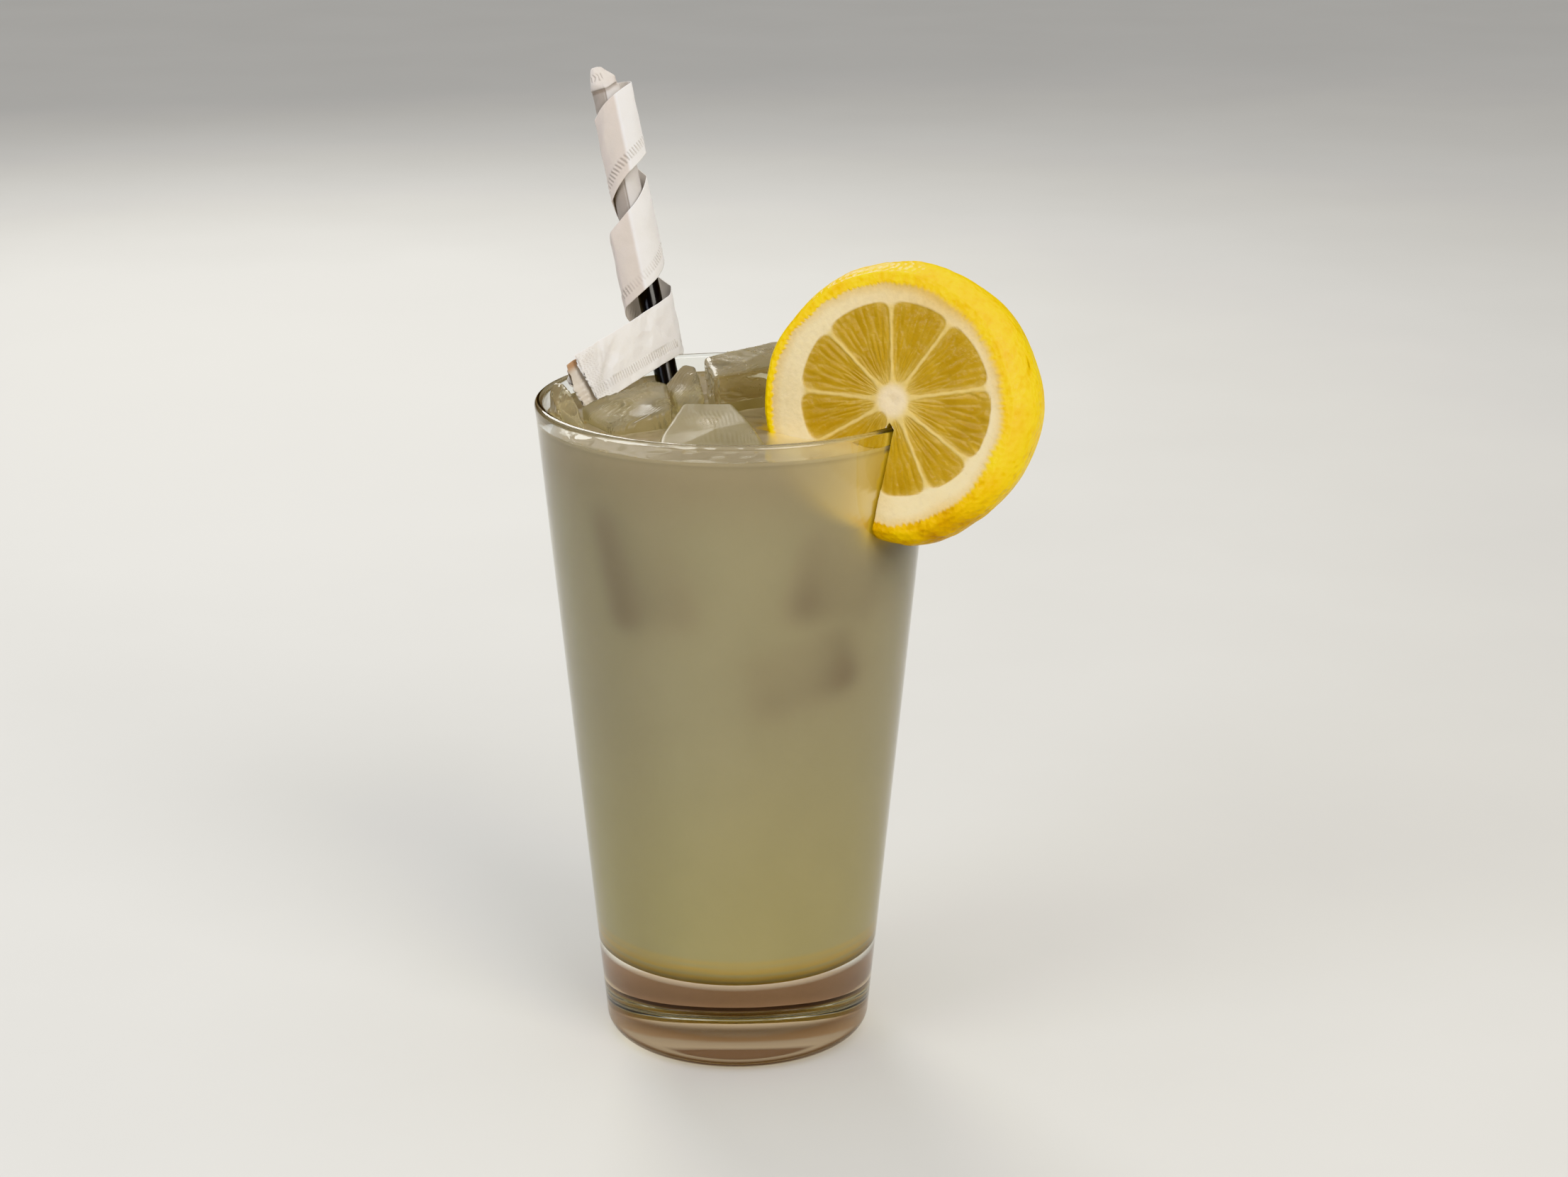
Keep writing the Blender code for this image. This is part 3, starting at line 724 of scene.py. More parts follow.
ice = {
    "voxel": 0.25, "rounding": 6,
    # the frosted colour is darkened to olive, a painted reflection
    "clear": "#DDD4BC", "frostedWithReflection": "#A0946F",
    # melt: size of the hollows in the surface; ridges: pitch, height and direction in degrees;
    # frost: on the sides and on the top
    "blocks": {
        "ice_left": {"melt": 0.30, "ridges": (2.4, 0.10, 70), "frost": (0.10, 0.20), "seed": 21},
        "ice_ridged": {"melt": 0.05, "ridges": (1.3, 0.55, 48), "frost": (0.45, 0.60), "seed": 22},
        "ice_chunk": {"melt": 0.22, "ridges": (1.8, 0.10, 60), "frost": (0.10, 0.50), "seed": 23},
        "ice_back": {"melt": 0.14, "ridges": (1.6, 0.06, 40), "frost": (0.15, 0.75), "seed": 24},
        "ice_front": {"melt": 0.05, "ridges": (1.9, 0.04, 95), "frost": (1.0, 1.0), "seed": 25},
    },
    # wholly sunk blocks: bearing and distance from the middle, height, sizes, turn and tilt
    "sunk": (
        (-122, 27.5, 121.0, (17, 17, 26), 12, 9),
        (-55, 28.0, 119.0, (15, 19, 19), 8, -7),
        (-64, 25.0, 97.5, (17, 21, 14), -10, 14),
        (150, 21.0, 116.0, (20, 20, 19), 15, 10),
        (78, 20.0, 112.0, (21, 19, 19), 30, -12),
        (15, 24.0, 117.0, (18, 20, 20), 5, 9),
        (-175, 14.0, 96.0, (19, 19, 20), 35, 14),
    ),
}


def frozenWater():
    # tray ice: clear with cloudy patches, its skin smooth where it melts and rough where it is dry
    material, tree, shader = startMaterial("trayIce", {"IOR": 1.31, "Transmission Weight": 1.0})
    place = addNode(tree, "ShaderNodeTexCoord")
    frost = addNode(tree, "ShaderNodeAttribute", attribute_name="frost")
    patches = addNode(tree, "ShaderNodeTexNoise", {"Scale": 520.0, "Detail": 5.0},
                      {"Vector": place.outputs["Object"]})
    evened = addNode(tree, "ShaderNodeMapRange",
                     {"From Min": 0.3, "From Max": 0.7, "To Min": 0.46, "To Max": 0.56},
                     {"Value": patches.outputs["Fac"]})
    amount = addNode(tree, "ShaderNodeMath", links={0: frost.outputs["Fac"], 1: evened.outputs["Result"]},
                     operation="MULTIPLY")
    rough = addNode(tree, "ShaderNodeMapRange", {"From Max": 0.8, "To Min": 0.02, "To Max": 0.55},
                    {"Value": amount.outputs["Value"]})
    clear = addNode(tree, "ShaderNodeMapRange", {"From Max": 0.8, "To Min": 1.0, "To Max": 0.30},
                    {"Value": amount.outputs["Value"]})
    bump = addNode(tree, "ShaderNodeBump", {"Strength": 0.12, "Distance": 0.0002},
                   {"Height": patches.outputs["Fac"]})
    # painted reflection: the frosted parts are darkened to olive, for the drink seen through them and the dark
    # surroundings that they reflect
    colour = addNode(tree, "ShaderNodeMix", {"A": linear(ice["clear"]), "B": linear(ice["frostedWithReflection"])},
                     {"Factor": frost.outputs["Fac"]}, data_type="RGBA")
    tree.links.new(colour.outputs["Result"], shader.inputs["Base Color"])
    tree.links.new(rough.outputs["Result"], shader.inputs["Roughness"])
    tree.links.new(clear.outputs["Result"], shader.inputs["Transmission Weight"])
    tree.links.new(bump.outputs["Normal"], shader.inputs["Normal"])
    letLampsThrough(tree, shader, "#EEF2EE")
    return material


iceMaterial = frozenWater()
iceShapes = []       # plain shapes of all the ice, for the drink's cavities and shades


def roughen(piece, work):
    # melted hollows and fine ridges, on the block's upper part most
    points, normals = pointsOf(piece) / mm, normalsOf(piece)
    pitch, rise, heading = work["ridges"]
    along = points[:, 0] * -math.sin(math.radians(heading)) + points[:, 1] * math.cos(math.radians(heading))
    wander = 1.6 * smoothNoise(points, 6.0, work["seed"] + 40)
    wave = np.sin(2 * math.pi * (along + wander) / pitch)
    above = smoothStep(143.0, 146.5, points[:, 2])
    shift = work["melt"] * smoothNoise(points, 4.5, work["seed"]) * (0.4 + 0.6 * above)
    shift += 0.35 * work["melt"] * smoothNoise(points, 1.6, work["seed"] + 1) * above
    shift += rise * (1 - np.abs(wave)) * above * np.clip(0.6 + smoothNoise(points, 5.0, work["seed"] + 2), 0, 1)
    setPoints(piece, (points + normals * shift[:, None]) * mm)
    onSides, onTop = work["frost"]
    frost = onSides + (onTop - onSides) * smoothStep(0.4, 0.8, normals[:, 2])
    setAmount(piece, "frost", np.clip(frost * (1 + 0.5 * smoothNoise(points, 5.5, work["seed"] + 3)), 0, 1))
    piece.data.shade_smooth()


for node, work in ice["blocks"].items():
    block = mergedCopy(node, node.replace("ice_", "ice_block_"))
    iceShapes.append(mergedCopy(node, "shape_" + node))
    fine = block.modifiers.new("fine", "REMESH")
    fine.mode = "VOXEL"
    fine.voxel_size = ice["voxel"] * mm
    soft = block.modifiers.new("soft", "SMOOTH")
    soft.iterations = ice["rounding"]
    baked(block)
    roughen(block, work)
    block.data.materials.clear()
    block.data.materials.append(iceMaterial)
    finish(block, "ice", node)


def sunkBlock(number, bearing, reach, z, sizes, turn, tilt):
    work = bmesh.new()
    bmesh.ops.create_cube(work, size=2.0)
    bmesh.ops.subdivide_edges(work, edges=work.edges, cuts=17, use_grid_fill=True)
    mesh = bpy.data.meshes.new("ice_sunk_%d" % number)
    work.to_mesh(mesh)
    work.free()
    piece = bpy.data.objects.new(mesh.name, mesh)
    scene.collection.objects.link(piece)
    points = pointsOf(piece)
    rounded = 7        # the higher, the sharper the block's edges
    points *= (np.abs(points).max(axis=1) / (np.abs(points) ** rounded).sum(axis=1) ** (1 / rounded))[:, None]
    points *= np.array(sizes) / 2
    points *= 1 + 0.035 * smoothNoise(points, 7.0, 60 + number)[:, None]
    angle = math.radians(bearing)
    pose = Matrix.Rotation(angle + math.radians(turn), 3, "Z") @ Matrix.Rotation(math.radians(tilt), 3, "X")
    points = points @ np.array(pose).T
    points += np.array([reach * math.cos(angle), reach * math.sin(angle), z])
    setPoints(piece, points * mm)
    setAmount(piece, "frost", np.full(len(points), 0.15))
    outward(piece)
    piece.data.materials.append(iceMaterial)
    finish(piece, "ice")
    return piece


sunk = [sunkBlock(i + 1, *row) for i, row in enumerate(ice["sunk"])]
print("ice: 5 blocks above the drink,", len(sunk), "sunk")


# Straw: black tube that leans from the floor over to the back of the rim

straw = {
    "radius": 2.75, "wall": 0.35, "length": 203.0, "atRim": (-17.1, 35.3, 149.7), "aboveRim": 64.3,
    "lean": (-13.3, 18.7, 60.1), "columns": 48, "rows": 90,
}
strawUp = Vector(straw["lean"]).normalized()
strawRight = (Vector((1, 0, 0)) - strawUp * strawUp.x).normalized()
strawFrame = np.array([strawRight, strawUp.cross(strawRight), strawUp])


def ontoStraw(points):
    # from the straw's own frame, in mm, to the object's, in metres
    return (np.asarray(points) @ strawFrame + np.array(straw["atRim"])) * mm


def blackPlastic():
    # extruded polypropylene: glossy black with faint lines drawn along the tube
    material, tree, shader = startMaterial("blackPolypropylene", {
        "Base Color": linear("#0B0B0D"), "IOR": 1.49})
    place = addNode(tree, "ShaderNodeTexCoord")
    lines = addNode(tree, "ShaderNodeTexNoise", {"Scale": 1400.0, "Detail": 2.0},
                    {"Vector": addNode(tree, "ShaderNodeMapping", {"Scale": (1.0, 1.0, 0.02)},
                                       {"Vector": place.outputs["Object"]}).outputs["Vector"]})
    rough = addNode(tree, "ShaderNodeMapRange", {"To Min": 0.14, "To Max": 0.30},
                    {"Value": lines.outputs["Fac"]})
    tree.links.new(rough.outputs["Result"], shader.inputs["Roughness"])
    return material


def tubeWalls(radius, wall, bottom, top, rows, columns):
    # rings up the outside, over a rounded end and down the inside, back to the first
    turns = np.linspace(0, 2 * math.pi, columns, endpoint=False)
    ends = arc((radius - wall / 2, top), wall / 2, 0, 180, 5)
    feet = arc((radius - wall / 2, bottom), wall / 2, 180, 360, 5)
    heights = np.linspace(bottom, top, rows)[1:-1]
    outline = [(radius, z) for z in heights] + ends + [(radius - wall, z) for z in heights[::-1]] + feet
    return np.array([[(r * math.cos(a), r * math.sin(a), z) for a in turns] for r, z in outline])


def loopOfRings(name, rings):
    rows, columns = rings.shape[:2]
    row, column = np.meshgrid(np.arange(rows), np.arange(columns), indexing="ij")
    after, below = (column + 1) % columns, (row + 1) % rows
    quads = np.stack([row * columns + column, row * columns + after,
                      below * columns + after, below * columns + column], axis=-1)
    return outward(meshObject(name, rings.reshape(-1, 3), quads.reshape(-1, 4)))


strawTop = straw["aboveRim"]
rings = tubeWalls(straw["radius"], straw["wall"], strawTop - straw["length"], strawTop,
                  straw["rows"], straw["columns"])
strawPiece = loopOfRings("drinking_straw", ontoStraw(rings))
strawPiece.data.materials.append(blackPlastic())
finish(strawPiece, "black_straw", "straw")
print("straw:", len(strawPiece.data.polygons), "faces")


# Paper: the straw's torn wrapper, still wound on it, with its closed end and its loose end

paper = {
    "sheet": 0.12, "sleeveRadius": 3.35, "sleeveBottom": 27.0,
    # turns wound, upper and lower edge along the straw from the rim, radius, in mm
    "winding": (
        (-0.45, 66.0, 60.5, 3.25), (-0.20, 66.4, 55.0, 4.6), (0.00, 65.2, 48.8, 6.2),
        (0.25, 61.4, 43.0, 5.1), (0.50, 56.3, 36.6, 4.4), (0.75, 49.6, 29.0, 4.7),
        (1.00, 42.6, 22.4, 5.1), (1.25, 35.8, 17.0, 5.7), (1.50, 29.1, 12.0, 7.2),
        (1.75, 22.6, 6.6, 6.0), (2.00, 16.2, 1.3, 5.2), (2.11, 14.2, 0.6, 5.2)),
    # turns at which the flattened wrapper's creases lie, and how flat the paper is between them
    "creases": (-0.46, -0.16, 0.03, 0.183, 0.43, 0.70, 0.98, 1.255, 1.41, 1.68, 1.95, 2.12), "flatness": 0.42,
    "flagLength": 35.6, "flagUpper": 3.1, "flagLower": -8.7, "flagSag": 1.2, "step": 0.2, "rows": 72,
    # pressed ribs: pitch, nearest and farthest distance from the lower edge, height
    "ribPitch": 0.88, "ribFrom": 1.55, "ribTo": 3.85, "ribHeight": 0.20,
    # torn end: how far its foot is torn back, its scallops, and the second layer's end at shares of the height
    "tornFoot": 4.4, "scallops": 7.5, "scallopDepth": 0.8, "layerBeyond": 3.0,
    "layerTorn": ((0.0, 0.1, 0.45, 0.68, 1.0), (5.0, 4.4, 1.8, 1.2, 2.0)),
    "dotPitch": 0.95, "dotBand": 5.2,
    # the darker paper tones are painted shade: in the grooves, on the inner face, on the left side, and on the
    # second layer's upper part
    "colour": "#F1EFEE", "shade": "#8F8276", "innerShaded": "#D8CFC4", "shadedLeftSide": "#CDBFB4", "shadowed": "#B08E70",
    "capTone": "#DDD4CC",
    # the sleeve's dark tone is painted shade
    "sleeveTone": "#D6D1CD", "sleeveShade": "#94887D",
    # crumpled end: height over the straw's end, half width, half depth, sideways
    "cap": ((-6.0, 3.35, 3.35, 0.0), (-0.6, 3.32, 3.30, 0.0), (0.6, 3.30, 3.00, -0.15), (3.0, 2.75, 2.0, -0.35),
            (4.4, 2.05, 1.45, -0.75), (5.2, 1.5, 1.0, -1.1), (5.75, 1.15, 0.65, -1.25), (5.85, 0.05, 0.05, -1.2)),
    "hemRise": 1.3, "hemOut": 0.45,
}


def windingAt(turn):
    rows = paper["winding"]
    last = len(rows) - 1
    i = max(j for j in range(last) if rows[j][0] <= turn + 1e-9)
    t = (turn - rows[i][0]) / (rows[i + 1][0] - rows[i][0])
    before, after = rows[max(i - 1, 0)], rows[min(i + 2, last)]
    values = []
    for k in (1, 2, 3):
        p0, p1, p2, p3 = before[k], rows[i][k], rows[i + 1][k], after[k]
        values.append((2 * t**3 - 3 * t**2 + 1) * p1 + (t**3 - 2 * t**2 + t) * (p2 - p0) / 2
                      + (3 * t**2 - 2 * t**3) * p2 + (t**3 - t**2) * (p3 - p1) / 2)
    return values


def flattened(turn):
    # the paper lies nearly flat between its creases, which stand out a little
    creases = paper["creases"]
    i = max(j for j in range(len(creases) - 1) if creases[j] <= turn + 1e-9)
    start, end = creases[i], creases[i + 1]
    chord = math.cos(math.pi * (end - start)) / math.cos(2 * math.pi * (turn - (start + end) / 2))
    return 1 + paper["flatness"] * (chord - 1)


def ribbonStations(extra=0.0):
    # (x, y, upper, lower) down the winding and out along the loose end, closely spaced
    first, last = paper["winding"][0][0], paper["winding"][-1][0]
    stations = []
    for turn in np.linspace(first, last, 430):
        upper, lower, radius = windingAt(turn)
        angle = -2 * math.pi * turn
        radius = max(radius * flattened(turn), min(radius, paper["sleeveRadius"] + 0.35))
        stations.append((radius * math.cos(angle), radius * math.sin(angle), upper, lower))
    x0, y0, upper0, lower0 = stations[-1]
    angle = -2 * math.pi * last
    along, aside = (math.sin(angle), -math.cos(angle)), (math.cos(angle), math.sin(angle))
    length = paper["flagLength"]
    for distance in np.arange(paper["step"], length + extra, paper["step"]):
        t = distance / length
        sag = paper["flagSag"] * math.sin(math.pi * min(t, 1))
        stations.append((x0 + along[0] * distance + aside[0] * sag, y0 + along[1] * distance + aside[1] * sag,
                         upper0 + (paper["flagUpper"] - upper0) * t, lower0 + (paper["flagLower"] - lower0) * t))
    return np.array(stations)


def sharpFolds(spot, count, size, slope, seed):
    # straight creases that run out after a while, from a flat place (along, across) in mm
    rng = np.random.default_rng(seed)
    low, high = spot.min(axis=0), spot.max(axis=0)
    total = np.zeros(len(spot))
    for _ in range(count):
        angle, wide = rng.uniform(0, math.pi), size * rng.uniform(0.5, 1.5)
        offset = spot - (low + (high - low) * rng.uniform(0, 1, 2))
        away = offset[:, 0] * math.cos(angle) + offset[:, 1] * math.sin(angle)
        along = offset[:, 1] * math.cos(angle) - offset[:, 0] * math.sin(angle)
        near = np.exp(-(away / wide) ** 2 - (along / (1.6 * wide)) ** 2)
        total += rng.uniform(-1, 1) * slope * (0.35 * wide - np.abs(away)) * near
    return total


def scalloped(share, seed):
    # how deep the torn edge's scallops are at each share of the paper's height
    wave = np.abs(np.sin(math.pi * (paper["scallops"] * share + 0.5 * np.sin(share * 9 + seed))))
    return paper["scallopDepth"] * (1 - wave + 0.12 * np.sin(share * 61 + seed))


def ribbonSheet():
    # the middle of the sheet as a grid of points, creased, with its pressed ribs and torn end
    stations = ribbonStations()
    count, rows = len(stations), paper["rows"]
    share = np.linspace(0, 1, rows)
    grid = np.empty((count, rows, 3))
    grid[..., :2] = stations[:, None, :2]
    grid[..., 2] = stations[:, 3:4] + (stations[:, 2:3] - stations[:, 3:4]) * share
    run = np.append(0, np.cumsum(np.hypot(*np.diff(stations[:, :2], axis=0).T)))
    edge = np.append(0, np.cumsum(np.linalg.norm(np.diff(np.column_stack([run, stations[:, 3]]), axis=0), axis=1)))
    climb = -np.gradient(stations[:, 3], edge)[:, None]
    along = np.gradient(stations[:, :2], axis=0)
    along /= np.linalg.norm(along, axis=1)[:, None]
    out = np.stack([-along[:, 1], along[:, 0]], axis=1)
    out *= np.sign((out * stations[:, :2]).sum(axis=1))[:, None]
    height = (stations[:, 2] - stations[:, 3])[:, None] * share
    end, length = run[-1], paper["flagLength"]
    # the torn edge: the end of the grid is drawn back to it
    pull = paper["tornFoot"] * (1 - share) ** 1.3 + scalloped(share, 1.0)
    pulled = np.clip((run - end + 28) / 28, 0, 1)[:, None] ** 1.5 * pull
    runs = run[:, None] - pulled
    spot = np.stack([runs.ravel(), height.ravel()], axis=1)
    place = np.column_stack([spot, np.zeros(len(spot))])
    # ribs stand square to the lower edge, a little inside it
    inward = height * np.sqrt(1 - climb ** 2)
    alongEdge = edge[:, None] - height * climb - pulled + 0.10 * smoothNoise(place, 3.0, 70).reshape(count, rows)
    band = smoothStep(paper["ribFrom"], paper["ribFrom"] + 0.4, inward)
    band *= smoothStep(paper["ribTo"], paper["ribTo"] - 0.4, inward)
    band *= np.clip(0.75 + 0.6 * smoothNoise(place, 4.0, 74).reshape(count, rows), 0, 1)
    wave = np.cos(2 * math.pi * alongEdge / paper["ribPitch"])
    flag = smoothStep(end - length, end - length + 5, runs)
    crumple = sharpFolds(spot, 260, 3.4, 0.16, 71) + 0.10 * smoothNoise(place, 7.0, 73)
    crumple = crumple.reshape(count, rows) * (0.40 + 0.85 * flag)
    fold = -0.40 * np.exp(-np.abs(runs - (end - 7.8) + 0.05 * height) / 0.9) * flag      # the loose end's long fold
    shift = (1 - 0.6 * band) * np.clip(crumple, -0.4, 0.4) + fold + paper["ribHeight"] * wave * band
    # rows of pressed dots beside the torn edge
    fromTear = end - pull - runs
    pitch = paper["dotPitch"]
    dots = np.cos(2 * math.pi * fromTear / pitch) * np.cos(2 * math.pi * height / pitch)
    dots = smoothStep(0.1, 0.9, dots) * smoothStep(paper["dotBand"], paper["dotBand"] - 0.6, fromTear) * flag
    shift -= 0.07 * dots
    grid[..., :2] += out[:, None] * shift[..., None] - along[:, None] * pulled[..., None]
    # painted shade in the ribs' grooves and in the pressed dots
    paintedShade = np.clip(0.8 * smoothStep(0.2, -0.8, wave) * band + 0.45 * dots, 0, 1)
    return grid, out, paintedShade


def tornLayer():
    # the sheet's second layer, torn further out and curled away behind the first
    stations = ribbonStations(paper["layerBeyond"])[-75:]
    rows = 50
    share = np.linspace(0.04, 0.93, rows)
    along = np.gradient(stations[:, :2], axis=0)
    along /= np.linalg.norm(along, axis=1)[:, None]
    out = np.stack([-along[:, 1], along[:, 0]], axis=1)
    out *= np.sign((out * stations[:, :2]).sum(axis=1))[:, None]
    grid = np.empty((len(stations), rows, 3))
    grid[..., :2] = stations[:, None, :2]
    grid[..., 2] = stations[:, 3:4] + (stations[:, 2:3] - stations[:, 3:4]) * share
    ease = np.linspace(0, 1, len(stations))[:, None]
    bump = 0.4 * smoothNoise(grid.reshape(-1, 3), 2.5, 77).reshape(len(stations), rows)
    shift = -0.95 - 0.8 * ease ** 2 + bump * ease
    grid[..., :2] += out[:, None] * shift[..., None]
    pull = np.interp(share, *paper["layerTorn"]) + scalloped(share, 4.0)
    grid[..., :2] -= along[:, None] * (ease ** 1.5 * pull)[..., None]
    return grid, out, share


def sheetPiece(name, grid, out):
    half = np.zeros_like(grid)
    half[..., :2] = out[:, None] * paper["sheet"] / 2
    # both faces as one closed loop of points at each station
    rings = np.concatenate([grid + half, (grid - half)[:, ::-1]], axis=1)
    return shellOfRings(name, ontoStraw(rings.reshape(-1, 3)).reshape(rings.shape))


def tissuePaper():
    # bleached sulphite paper, thin and dry: warm white, matt, with fine fibres and soft creases
    material, tree, shader = startMaterial("wrapperPaper", {
        "Roughness": 0.88, "Specular IOR Level": 0.2, "Sheen Weight": 0.1, "Sheen Roughness": 0.5,
        "Subsurface Weight": 0.35, "Subsurface Scale": 0.0006, "Subsurface Radius": (1.0, 0.96, 0.92)})
    place = addNode(tree, "ShaderNodeTexCoord")
    shadeOf = addNode(tree, "ShaderNodeAttribute", attribute_name="tone")
    fibres = addNode(tree, "ShaderNodeTexNoise", {"Scale": 2600.0, "Detail": 4.0, "Distortion": 1.2},
                     {"Vector": place.outputs["Object"]})
    cloud = addNode(tree, "ShaderNodeTexNoise", {"Scale": 320.0, "Detail": 2.0},
                    {"Vector": place.outputs["Object"]})
    both = addNode(tree, "ShaderNodeMath", links={0: fibres.outputs["Fac"], 1: cloud.outputs["Fac"]},
                   operation="ADD")
    value = addNode(tree, "ShaderNodeMapRange", {"From Max": 2.0, "To Min": 0.90, "To Max": 1.08},
                    {"Value": both.outputs["Value"]})
    colour = addNode(tree, "ShaderNodeHueSaturation", links={
        "Value": value.outputs["Result"], "Color": shadeOf.outputs["Color"]})
    bump = addNode(tree, "ShaderNodeBump", {"Strength": 0.35, "Distance": 0.00012},
                   {"Height": both.outputs["Value"]})
    tree.links.new(colour.outputs["Color"], shader.inputs["Base Color"])
    tree.links.new(bump.outputs["Normal"], shader.inputs["Normal"])
    return material


def sleevePiece():
    # the closed sleeve on the straw: inside up from below the end, over, and down the outside
    top, sheet = straw["aboveRim"], paper["sheet"]
    above = np.concatenate([np.linspace(paper["sleeveBottom"] - top, -3.0, 70), np.linspace(-3.0, 5.9, 76)[1:]])
    key = np.array(paper["cap"])
    wide, deep, aside = (np.interp(above, key[:, 0], key[:, k]) for k in (1, 2, 3))
    turns = np.linspace(0, 2 * math.pi, 120, endpoint=False)

    def rings(less, lower):
        x = aside[:, None] + np.maximum(wide - less, 0.03)[:, None] * np.cos(turns)
        y = np.maximum(deep - less, 0.03)[:, None] * np.sin(turns)
        return np.stack([x, y, (top + above - lower)[:, None] + 0 * x], axis=2)

    shell = np.concatenate([rings(0, 0)[::-1], rings(sheet, sheet)])
    flat = shell.reshape(-1, 3)
    high, angle = flat[:, 2] - top, np.tile(turns, len(shell))
    front = smoothStep(0.0, -0.5, np.sin(angle))
    spot = np.stack([np.degrees(angle) * 0.0585, flat[:, 2]], axis=1)
    place = np.column_stack([3 * np.cos(angle), 3 * np.sin(angle), flat[:, 2]])
    inCap = smoothStep(-1.5, 2.0, high)
    crumple = sharpFolds(spot, 90, 1.9, 0.30, 81) * (0.2 + 0.8 * inCap) + 0.34 * inCap * smoothNoise(place, 1.5, 82)
    # the end is folded over to the front, and its hem stands out over the sleeve
    hem = 0.1 + paper["hemRise"] * smoothStep(0, 3, flat[:, 0])
    overhang = smoothStep(-0.12, 0.12, high - hem) * smoothStep(4.4, 1.2, high) * front
    # the sleeve's lap: one edge lies over the other down the front
    lap = 0.20 * np.where(np.cos(angle) > -0.05, 1, 0) * front * (1 - inCap)
    across = flat[:, 0] + 0.25 * high + 0.3 * smoothNoise(place, 1.3, 83)
    crimps = np.cos(2 * math.pi * across / 0.75) * smoothStep(1.8, 2.4, high) * smoothStep(4.6, 3.8, high) * front
    crimps *= 0.75 * smoothStep(0.3, -0.4, flat[:, 0])
    size = np.hypot(flat[:, 0], flat[:, 1])
    grow = (crumple + paper["hemOut"] * overhang + lap + 0.10 * crimps) * smoothStep(0.1, 1.2, size)
    flat[:, :2] *= (1 + grow / np.maximum(size, 0.1))[:, None]
    piece = shellOfRings("paper_sleeve", ontoStraw(flat).reshape(shell.shape))
    # painted shade: a shadow under the hem, a dark line down the lap's edge, and the left side and the crimps'
    # grooves darker
    shadow = np.exp(-((high - hem + 0.35) / 0.45) ** 2) * front
    edge = np.exp(-((np.cos(angle) + 0.07) / 0.05) ** 2) * front * (1 - inCap)
    shadedLeftSide = smoothStep(0.0, -0.25, np.cos(angle)) * (1 - inCap)
    paintedShade = np.clip(0.75 * shadedLeftSide + 0.6 * shadow + 0.8 * edge + 0.7 * smoothStep(-0.1, -0.9, crimps), 0, 1)
    cover = between(tone(paper["sleeveTone"]), tone(paper["capTone"]), inCap)
    colour = between(cover, tone(paper["sleeveShade"]), paintedShade)
    setTone(piece, "tone", np.vstack([colour, colour[:1], colour[-1:]]))
    return piece


def paintSheet(piece, outer):
    # the outer face in its own tones, the inner face a little browner and darker, painted shade
    innerShaded = between(outer, tone(paper["innerShaded"]), 0.6)
    tones = np.concatenate([outer, innerShaded[:, ::-1]], axis=1).reshape(-1, 3)
    setTone(piece, "tone", np.vstack([tones, tones[:1], tones[-1:]]))


grid, out, paintedShade = ribbonSheet()
ribbon = sheetPiece("paper_ribbon", grid, out)
turn = np.linspace(paper["winding"][0][0], paper["winding"][-1][0], 430)
# painted shade: the facets that face left after the creases are darker and warmer
shadedLeftSide = sum(smoothStep(start, start + 0.03, turn) * smoothStep(start + 0.5, start + 0.3, turn)
               for start in (paper["creases"][3], paper["creases"][7]))
shadedLeftSide = np.append(shadedLeftSide, np.zeros(len(grid) - len(turn)))[:, None] + 0 * paintedShade
cover = between(tone(paper["colour"]), tone(paper["shadedLeftSide"]), 0.8 * shadedLeftSide)
paintSheet(ribbon, between(cover, tone(paper["shade"]), 0.62 * paintedShade))
grid, out, share = tornLayer()
layer = sheetPiece("paper_torn_layer", grid, out)
shadowed = smoothStep(0.70, 0.84, share) + 0 * grid[..., 0]
paintSheet(layer, between(tone(paper["innerShaded"]), tone(paper["shadowed"]), shadowed))
sleeve = sleevePiece()
paperMaterial = tissuePaper()
for piece in (ribbon, layer, sleeve):
    piece.data.materials.append(paperMaterial)
    finish(piece, "wrapper_paper", "paper_wrapper")
print("paper:", sum(len(piece.data.polygons) for piece in (ribbon, layer, sleeve)), "faces")


# Drink: cloudy lemonade, cut round the ice, the lemon and the straw

drink = {
    "level": 145.0, "intoGlass": 0.12, "meniscus": 1.0, "meniscusReach": 1.5, "steps": 320,
    "cavity": 0.40, "middle": "#A19779", "low": "#A89D72", "top": "#998B6F", "surface": "#94866A",
    # sunk ice darkens the wall close by and a little further off; the lighter hollow round ice is painted light
    "iceShade": "#756453", "iceNear": 3.0, "iceFar": 8.0, "hollowLit": "#B2A586",
    # the lemon shows through the drink: the way that the eye looks in, and how soon it fades, in mm
    "lookIn": (0.0, 0.975, -0.22), "lemonFade": 15.5, "lemonHaze": "#D8BF80", "lemonHazeShare": 0.45,
    # the dark line along the meniscus is painted shade; the golden bands over the foot are painted light
    "meniscusShade": "#6F6A50", "footGlowTone": "#C79E3C",
}


def cloudyLemonade(name, values):
    # pressed lemon and sugar in water: an even haze, here a coloured surface that darkens over ice
    material, tree, shader = startMaterial(name, values)
    colour = addNode(tree, "ShaderNodeAttribute", attribute_name="tone")
    place = addNode(tree, "ShaderNodeTexCoord")
    haze = addNode(tree, "ShaderNodeTexNoise", {"Scale": 55.0, "Detail": 3.0},
                   {"Vector": place.outputs["Object"]})
    value = addNode(tree, "ShaderNodeMapRange", {"To Min": 0.95, "To Max": 1.05},
                    {"Value": haze.outputs["Fac"]})
    mixed = addNode(tree, "ShaderNodeHueSaturation", links={
        "Value": value.outputs["Result"], "Color": colour.outputs["Color"]})
    tree.links.new(mixed.outputs["Color"], shader.inputs["Base Color"])
    return material


